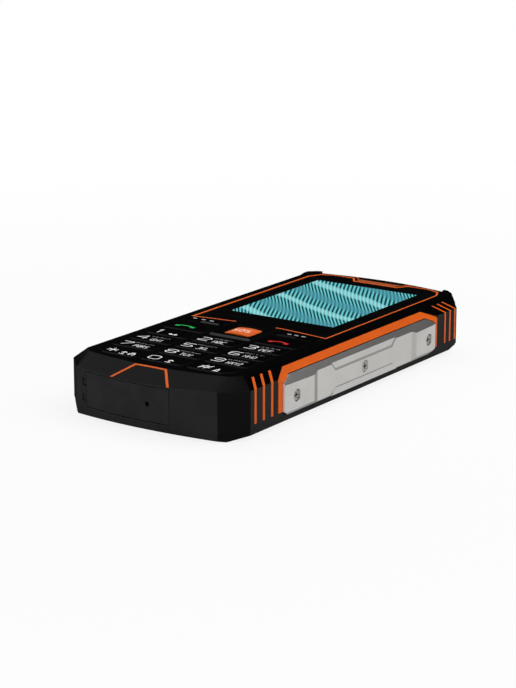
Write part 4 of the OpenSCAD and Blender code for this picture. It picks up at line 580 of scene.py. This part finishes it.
def printLegend(key, digit, letters, second, marks, look):
    low, high = boxOf(key)
    left, middle = low.x, (low.y + high.y) / 2
    shape = bmesh.new()
    digitLeft = left + look["left" if digit.isdigit() else "signLeft"]
    writeRow(shape, digit, digitLeft, middle + look["digitLow"], look["digit"], 0, look["digitStroke"])
    squeeze = look["tight"] if len(letters) > 3 else 1
    letterSize = look["letter"][0] * squeeze, look["letter"][1]
    writeRow(shape, letters, left + look["letterLeft"], middle + look["letterLow"], letterSize,
             look["letterGap"] * squeeze, look["letterStroke"])
    whites = len(shape.faces)
    writeRow(shape, second, left + look["smallLeft"], middle + look["smallLow"], look["small"],
             look["smallGap"], look["smallStroke"])
    shape.faces.ensure_lookup_table()
    for face in shape.faces[whites:]:
        face.material_index = 1  # grey
    shiftX, shiftY = look["postShift"] if "post" in marks else (0, 0)
    writeRow(shape, marks, left + look["markLeft"] + shiftX, middle + look["markLow"] + shiftY,
             look["mark"], look["markGap"], look["markStroke"])
    drape(shape, key, look["rise"], look["sink"])
    legend = addPiece("legend_" + key, shape, inks["white"], key)
    if second:
        legend.data.materials.append(inks["grey"])


for key, legend in legends.items():
    printLegend(key, *legend, legendLook)
print("phone: key legends printed")

# handsets on the call and end keys: an arch with two thick ends, in mm; the shares place the points of each
handsetLook = dict(half=3.4, rise=1.15, thin=0.62, thick=1.15, end=1.5, endLow=-0.518, endLift=0.2875,
                   archShares=(-0.75, -0.5, -0.25, 0, 0.25, 0.5, 0.75), endShares=(0, 0.3, 0.7, 1), up=0.35)


def handset(name, ink, key, right, look):
    low, high = boxOf(key)
    x, y = (low.x + high.x) / 2 + right, (low.y + high.y) / 2 + look["up"]
    shape = bmesh.new()
    arch = [(x + look["half"] * t, y + look["rise"] * (1 - t * t) - look["rise"] / 2)
            for t in look["archShares"]]
    ribbon(shape, arch, look["thin"])
    for side in (-1, 1):
        ends = [(x + side * (look["half"] - look["end"] * t), y + look["endLow"] + look["endLift"] * t)
                for t in look["endShares"]]
        ribbon(shape, ends, look["thick"])
    drape(shape, key, legendLook["rise"], legendLook["sink"])
    addPiece(name, shape, inks[ink], key)


handset("call_icon", "green", "call_key", right=-1.3, look=handsetLook)
handset("end_icon", "red", "end_key", right=-0.6, look=handsetLook)

# three raised dots and a ridge on each soft key, in mm; the ridges' grey is a painted highlight along the
# keys' near edges, lighter on the left key than on the right
softLook = dict(left_soft_key=(-20.7, -17.6, -14.6), right_soft_key=(13.1, 15.55, 18.0), dotY=-10.7,
                dotLong=1.45, dotWide=0.55, dotRise=0.06, dotSink=0.1, ridge=(10.2, 16.9), ridgeY=-13.1,
                ridgeWide=0.85, ridgeRise=0.18, ridgeSink=0.2, ridgeRound=0.16, ridgeSegments=3)


def capsule(centre, long, wide):  # outline of a rounded bar, its long side along x
    half, radius = (long - wide) / 2, wide / 2
    outline = []
    for side in (1, -1):
        for turn in (math.radians(angle) for angle in range(-90, 91, 30)):
            outline.append((centre[0] + side * (half + radius * math.cos(turn)),
                            centre[1] + side * radius * math.sin(turn)))
    return outline


def puck(shape, outline, low=-mm, high=mm):  # outline in mm, heights in m; drape sets those of a print
    floor, roof = [[shape.verts.new((x * mm, y * mm, z)) for x, y in outline] for z in (low, high)]
    shape.faces.new(floor)
    shape.faces.new(roof)
    skin(shape, floor, roof)


def dressSoftKey(key, side, look):
    shape = bmesh.new()
    for x in look[key]:
        puck(shape, capsule((x, look["dotY"]), look["dotLong"], look["dotWide"]))
    drape(shape, key, look["dotRise"], look["dotSink"])
    addPiece(key + "_dots", shape, inks["dot"], key)
    near, far = look["ridge"]
    shape = bmesh.new()
    puck(shape, capsule((side * (near + far) / 2, look["ridgeY"]), far - near, look["ridgeWide"]))
    drape(shape, key, look["ridgeRise"], look["ridgeSink"])
    ridge = addPiece(key + "_ridge", shape, keyFinish(key + "_ridge", ridgeHighlightLook[key]), key)
    edge = ridge.modifiers.new("edge", "BEVEL")
    edge.width = look["ridgeRound"] * mm
    edge.segments = look["ridgeSegments"]


dressSoftKey("left_soft_key", -1, softLook)
dressSoftKey("right_soft_key", 1, softLook)
print("phone: icons and dots on the upper keys")

# SOS on the centre key, along its crown; lengths in mm
sosLook = dict(text="SOS", size=(1.7, 2.5), gap=0.45, stroke=0.32, right=-0.7, up=-0.8)


def printCentre(key, look):
    low, high = boxOf(key)
    count = len(look["text"])
    long = count * look["size"][0] + (count - 1) * look["gap"]
    shape = bmesh.new()
    writeRow(shape, look["text"], look["right"] - long / 2, (low.y + high.y) / 2 + look["up"], look["size"],
             look["gap"], look["stroke"])
    drape(shape, key, legendLook["rise"], legendLook["sink"])
    addPiece(key + "_print", shape, inks["pale"], key)


printCentre("centre_key", sosLook)

# picture on the display: ribbed cloth in slow folds, seen at the top of the glass; lengths in mm
pictureLook = dict(width=36.72, length=48.96, low=4.79, rise=0.012, sink=0.1, groove=colour(8, 60, 68),
                   rib=colour(106, 200, 204), plain=colour(72, 146, 160), bright=colour(168, 240, 242),
                   unlit=(0.004, 0.006, 0.008, 1.0), ribPitch=1.15, ribSlope=1.6, foldLong=21,
                   foldSlope=0.45, sway=7, swayLong=24, bend=2.6, rough=0.1)


def pictureFinish(look):
    material, shader, place = newFinish("picture")
    x, y, _ = place.axes()
    x, y = x / mm, y / mm
    sway = place.noise(look["swayLong"], 1) * look["sway"]
    fold = ((y + x * look["foldSlope"] + sway) * (2 * math.pi / look["foldLong"])).sine()
    across = (x * look["ribSlope"] + y) / math.hypot(look["ribSlope"], 1)
    rib = (across * (2 * math.pi / look["ribPitch"]) + fold * look["bend"]).sine().rise(-0.5, 0.6)
    ribbed = rib.shade(look["groove"], look["rib"])
    softened = ((0 - fold).rise(0.35, 1.0) * 0.75).shade(ribbed, look["plain"])
    setShader(shader, {
        "Base Color": look["unlit"],
        "Roughness": rib * 0.05 + look["rough"],
        "Specular IOR Level": 0.0,
        "Emission Color": (fold.rise(0.72, 1.0) * 0.55).shade(softened, look["bright"]),
        "Emission Strength": 1.0,
    })
    return material


def addPicture(look):
    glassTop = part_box("display_lens")[1].z
    half = look["width"] / 2
    near, far = look["low"], look["low"] + look["length"]
    shape = bmesh.new()
    puck(shape, [(-half, near), (half, near), (half, far), (-half, far)],
         glassTop - look["sink"] * mm, glassTop + look["rise"] * mm)
    addPiece("screen_picture", shape, pictureFinish(look), "phone")


addPicture(pictureLook)
print("phone: display picture in place")

# earpiece grille: long round ribs over a floor painted dark as shade, and a slash beside each end; lengths
# in mm
grilleLook = dict(ribs=5, ribSteps=6, ribHigh=0.28, ribCrown=0.6, endIn=1.7, weave=0.22, weaveDepth=0.02,
                  floor=colour(58, 26, 12), rib=colour(176, 84, 34), rough=0.45, gloss=0.1,
                  slash=((-10.2, 64.1), (-8.9, 62.75), (-7.9, 61.0)), slashWide=0.45, slashRise=0.04,
                  slashSink=0.2)


def grilleFinish(look, top):
    material, shader, place = newFinish("grille")
    _, _, z = place.axes()
    lift = z.rise(top - look["ribHigh"] * mm, top)
    weave = place.cells(look["weave"])
    setShader(shader, {
        # painted shade: darker from the rib tops down to the floor
        "Base Color": (lift * (0.75 + weave * 0.5)).shade(look["floor"], look["rib"]),
        "Roughness": weave * 0.2 + look["rough"],
        "Specular IOR Level": look["gloss"],
        "Normal": bumpFrom(place, weave, look["weaveDepth"]),
    })
    return material


def addGrille(look):
    low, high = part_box("earpiece_mesh")
    shape = bmesh.new()
    steps = look["ribs"] * look["ribSteps"]
    rings = []
    for i in range(steps + 1):
        along = i / steps
        y = low.y + (high.y - low.y) * along
        half = high.x - look["endIn"] * mm * (1 - along)
        lift = abs(math.sin(math.pi * along * look["ribs"])) ** look["ribCrown"]
        top = high.z - look["ribHigh"] * mm * (1 - lift)
        rings.append([shape.verts.new((x, y, z)) for x, z in
                      ((-half, low.z), (half, low.z), (half, top), (-half, top))])
    for one, two in zip(rings, rings[1:]):
        skin(shape, one, two)
    shape.faces.new(rings[0])
    shape.faces.new(rings[-1])
    grille = addPiece("earpiece_grille", shape, grilleFinish(look, high.z), "phone")
    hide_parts("earpiece_mesh")


def addSlashes(look):
    shape = bmesh.new()
    for side in (1, -1):
        ribbon(shape, [(x * side, y) for x, y in look["slash"]], look["slashWide"])
    drape(shape, "front_housing", look["slashRise"], look["slashSink"])
    addPiece("earpiece_slashes", shape, finishOf["orange"], "phone")


addGrille(grilleLook)
addSlashes(grilleLook)
print("phone: earpiece grille in place")

# back of the phone: rings and lens of the camera, ribbed lamp lens, pierced speaker plate; in mm
seat = 0.4  # height inside the back at which the turned pieces start; outlines are radii and heights
backLook = dict(bezel=((4.1, seat), (5.1, seat), (5.1, 0.16), (4.95, 0.08), (4.3, 0.08), (4.1, 0.22)),
                collar=((1.75, seat), (2.6, seat), (2.6, 0.26), (2.4, 0.2), (1.75, 0.27)),
                eye=((0, seat), (1.7, seat), (1.7, 0.28), (1.3, 0.22), (0.7, 0.18), (0, 0.165)),
                lampRadius=1.75, lampRibs=4, lampCrest=0.75, lampLow=0.26, lampHigh=0.17, pitch=1.3,
                hole=0.45, turns=48, sharpAngle=30)
eyeLook = dict(first=colour(10, 11, 20), second=colour(18, 14, 34), worn=colour(30, 34, 60),
               grain=0.4, depth=0.002, rough=(0.04, 0.1), gloss=0.6)
collarLook = dict(first=colour(52, 52, 55), second=colour(44, 44, 47), worn=colour(96, 96, 98),
                  grain=0.2, depth=0.004, rough=(0.3, 0.42), metal=0.9, gloss=0.5)
collarFinish = plainFinish("collar", collarLook)


def lathe(shape, centre, outline, steps):  # turns a closed outline about an upright line
    rings = []
    for i in range(steps):
        turn = 2 * math.pi * i / steps
        rings.append([shape.verts.new((centre.x + radius * mm * math.cos(turn),
                                       centre.y + radius * mm * math.sin(turn), z * mm))
                      for radius, z in outline])
    for one, two in zip(rings, rings[1:] + rings[:1]):
        for k in range(len(outline)):
            after = (k + 1) % len(outline)
            if outline[k][0] or outline[after][0]:  # the side on the line itself has no face
                shape.faces.new((one[k], one[after], two[after], two[k]))
    bmesh.ops.remove_doubles(shape, verts=shape.verts, dist=sameSpot)


def turned(name, node, outline, finish):
    low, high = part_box(node)
    shape = bmesh.new()
    lathe(shape, (low + high) / 2, outline, backLook["turns"])
    piece = addPiece(name, shape, finish, "phone")
    piece.data.shade_smooth()
    piece.data.set_sharp_from_angle(angle=math.radians(backLook["sharpAngle"]))


def lampOutline(look):  # rings of saw teeth, the inmost one a cone
    step = look["lampRadius"] / look["lampRibs"]
    outline = [(0, seat), (look["lampRadius"], seat)]
    for i in range(look["lampRibs"], 0, -1):
        outline += [(step * i, look["lampLow"]), (step * (i - look["lampCrest"]), look["lampHigh"])]
    return outline[:-1] + [(0, look["lampHigh"])]


turned("camera_bezel", "camera_window", backLook["bezel"], collarFinish)
turned("camera_collar", "camera_window", backLook["collar"], collarFinish)
turned("camera_eye", "camera_window", backLook["eye"], plainFinish("eye", eyeLook))
turned("flash_lens", "flash_led", lampOutline(backLook), finishOf["lamp"])


def pierced(shape, low, high, pitch, hole):  # a plate with rows of eight-sided holes, in m
    size = high - low
    across, along = int(size.x / pitch - 0.5), int(size.y / pitch - 0.5)
    start = (low + high) / 2 - Vector((across * pitch / 2, along * pitch / 2, 0))

    def corner(i, k, z):
        return shape.verts.new((start.x + i * pitch, start.y + k * pitch, z))

    for i in range(across):
        for k in range(along):
            middle = start + Vector((i + 0.5, k + 0.5, 0)) * pitch
            rims = []
            for z in (low.z, high.z):
                square = [corner(i + a, k + b, z) for a, b in ((1, 1), (0, 1), (0, 0), (1, 0))]
                rim = [shape.verts.new((middle.x + hole * math.cos(math.pi / 4 * t),
                                        middle.y + hole * math.sin(math.pi / 4 * t), z))
                       for t in range(1, 9)]
                for t in range(4):
                    arc = (rim[2 * t], rim[2 * t + 1], rim[(2 * t + 2) % 8])
                    shape.faces.new((square[(t + 1) % 4], square[t]) + arc)
                rims.append(rim)
            skin(shape, *rims)
    borders = [[(i, 0) for i in range(across + 1)], [(across, k) for k in range(along + 1)],
               [(i, along) for i in range(across, -1, -1)], [(0, k) for k in range(along, -1, -1)]]
    outside = [(low.x, low.y), (high.x, low.y), (high.x, high.y), (low.x, high.y)]
    for t, border in enumerate(borders):
        ends = outside[t], outside[(t + 1) % 4]
        for z in (low.z, high.z):
            inner = [corner(i, k, z) for i, k in reversed(border)]
            shape.faces.new([shape.verts.new((x, y, z)) for x, y in ends] + inner)
        shape.faces.new([shape.verts.new((x, y, z)) for (x, y), z in
                         ((ends[0], low.z), (ends[1], low.z), (ends[1], high.z), (ends[0], high.z))])
    bmesh.ops.remove_doubles(shape, verts=shape.verts, dist=sameSpot)


shape = bmesh.new()
pierced(shape, *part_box("speaker_mesh"), backLook["pitch"] * mm, backLook["hole"] * mm)
speakerPlate = addPiece("speaker_plate", shape, collarFinish, "phone")
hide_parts("speaker_mesh")
print("phone: camera, lamp and speaker dressed on the back")

# white paper floor, in m; seen by the camera and in reflections it glows, and keeps the object's shadow
stageLook = dict(size=12.0, grey=0.86, glow=0.86, near=0.1, far=0.4, world=0.07)
reach = stageLook["size"]
floorMesh = bpy.data.meshes.new("floor")
floorMesh.from_pydata([(-reach, -reach, 0), (reach, -reach, 0), (reach, reach, 0), (-reach, reach, 0)], [],
                      [(0, 1, 2, 3)])
floor = bpy.data.objects.new("floor", floorMesh)
floor.location.z = cadBox[0].z
bpy.context.scene.collection.objects.link(floor)
paper = bpy.data.materials.new("floor_paper")
paper.use_nodes = True
paperTree = paper.node_tree
paperTree.nodes.remove(paperTree.nodes["Principled BSDF"])
begin = Wire(paperTree)
seen = begin.node("ShaderNodeLightPath")
shown = seen.larger(seen.other("Is Glossy Ray")).larger(seen.other("Is Transmission Ray"))
matt = begin.node("ShaderNodeBsdfDiffuse", None, {"Color": (stageLook["grey"],) * 3 + (1.0,)})
glow = begin.node("ShaderNodeEmission", None, {"Color": (1, 1, 1, 1), "Strength": 1.0})
away = begin.node("ShaderNodeVectorMath", {"operation": "LENGTH"},
                  {0: begin.node("ShaderNodeTexCoord", None, None, "Object")}, "Value")
fill = away.rise(stageLook["near"], stageLook["far"]) * (1 - stageLook["glow"]) + stageLook["glow"]
both = begin.node("ShaderNodeMixShader", None, {0: shown * fill, 1: matt, 2: glow})
plug(paperTree, paperTree.nodes["Material Output"].inputs["Surface"], both)
floorMesh.materials.append(paper)

world = bpy.data.worlds.new("studio")
bpy.context.scene.world = world
world.use_nodes = True
world.node_tree.nodes["Background"].inputs["Color"].default_value = (stageLook["world"],) * 3 + (1.0,)

lamps = {  # place in m, size in m, power in W; each looks at the origin
    "overhead": dict(place=(-0.42, 0.17, 0.62), size=(0.9, 0.9), power=3.6),
    "end": dict(place=(0.05, -0.78, 0.2), size=(0.3, 0.25), power=1.7),
    "side": dict(place=(0.47, 0.21, 0.68), size=(0.8, 0.8), power=5.7),
}
for name, lamp in lamps.items():
    light = bpy.data.lights.new(name, "AREA")
    light.shape = "RECTANGLE"
    light.size, light.size_y = lamp["size"]
    light.energy = lamp["power"]
    holder = bpy.data.objects.new(name, light)
    holder.location = lamp["place"]
    holder.rotation_euler = (-holder.location).to_track_quat("-Z", "Y").to_euler()
    bpy.context.scene.collection.objects.link(holder)

# camera: its turn, height and tilt in degrees, and in mm how far its middle lies off the middle of the face
cameraLook = dict(azimuth=34.25, elevation=14.89, roll=0.066, distance=653.9, right=-6.21, up=-7.38,
                  face=(0, 3.35, 17.5), focalPx=2183.5, imageHigh=688, sensor=36, clip=(0.01, 50))
azimuth, elevation, roll = (math.radians(cameraLook[turn]) for turn in ("azimuth", "elevation", "roll"))
back = Vector((math.sin(azimuth) * math.cos(elevation), -math.cos(azimuth) * math.cos(elevation),
               math.sin(elevation)))
level = Vector((math.cos(azimuth), math.sin(azimuth), 0))
upward = back.cross(level)
right = level * math.cos(roll) + upward * math.sin(roll)
top = upward * math.cos(roll) - level * math.sin(roll)
spot = Vector(cameraLook["face"]) + right * cameraLook["right"] + top * cameraLook["up"]
spot += back * cameraLook["distance"]
cameraData = bpy.data.cameras.new("camera")
cameraData.sensor_width = cameraLook["sensor"]
cameraData.lens = cameraLook["focalPx"] * cameraLook["sensor"] / cameraLook["imageHigh"]
cameraData.clip_start, cameraData.clip_end = cameraLook["clip"]
camera = bpy.data.objects.new("camera", cameraData)
camera.matrix_world = Matrix.Translation(spot * mm) @ Matrix((right, top, back)).transposed().to_4x4()
bpy.context.scene.collection.objects.link(camera)
bpy.context.scene.camera = camera
bpy.context.scene.view_settings.view_transform = "Standard"
print("phone: stage, lamps and camera set")
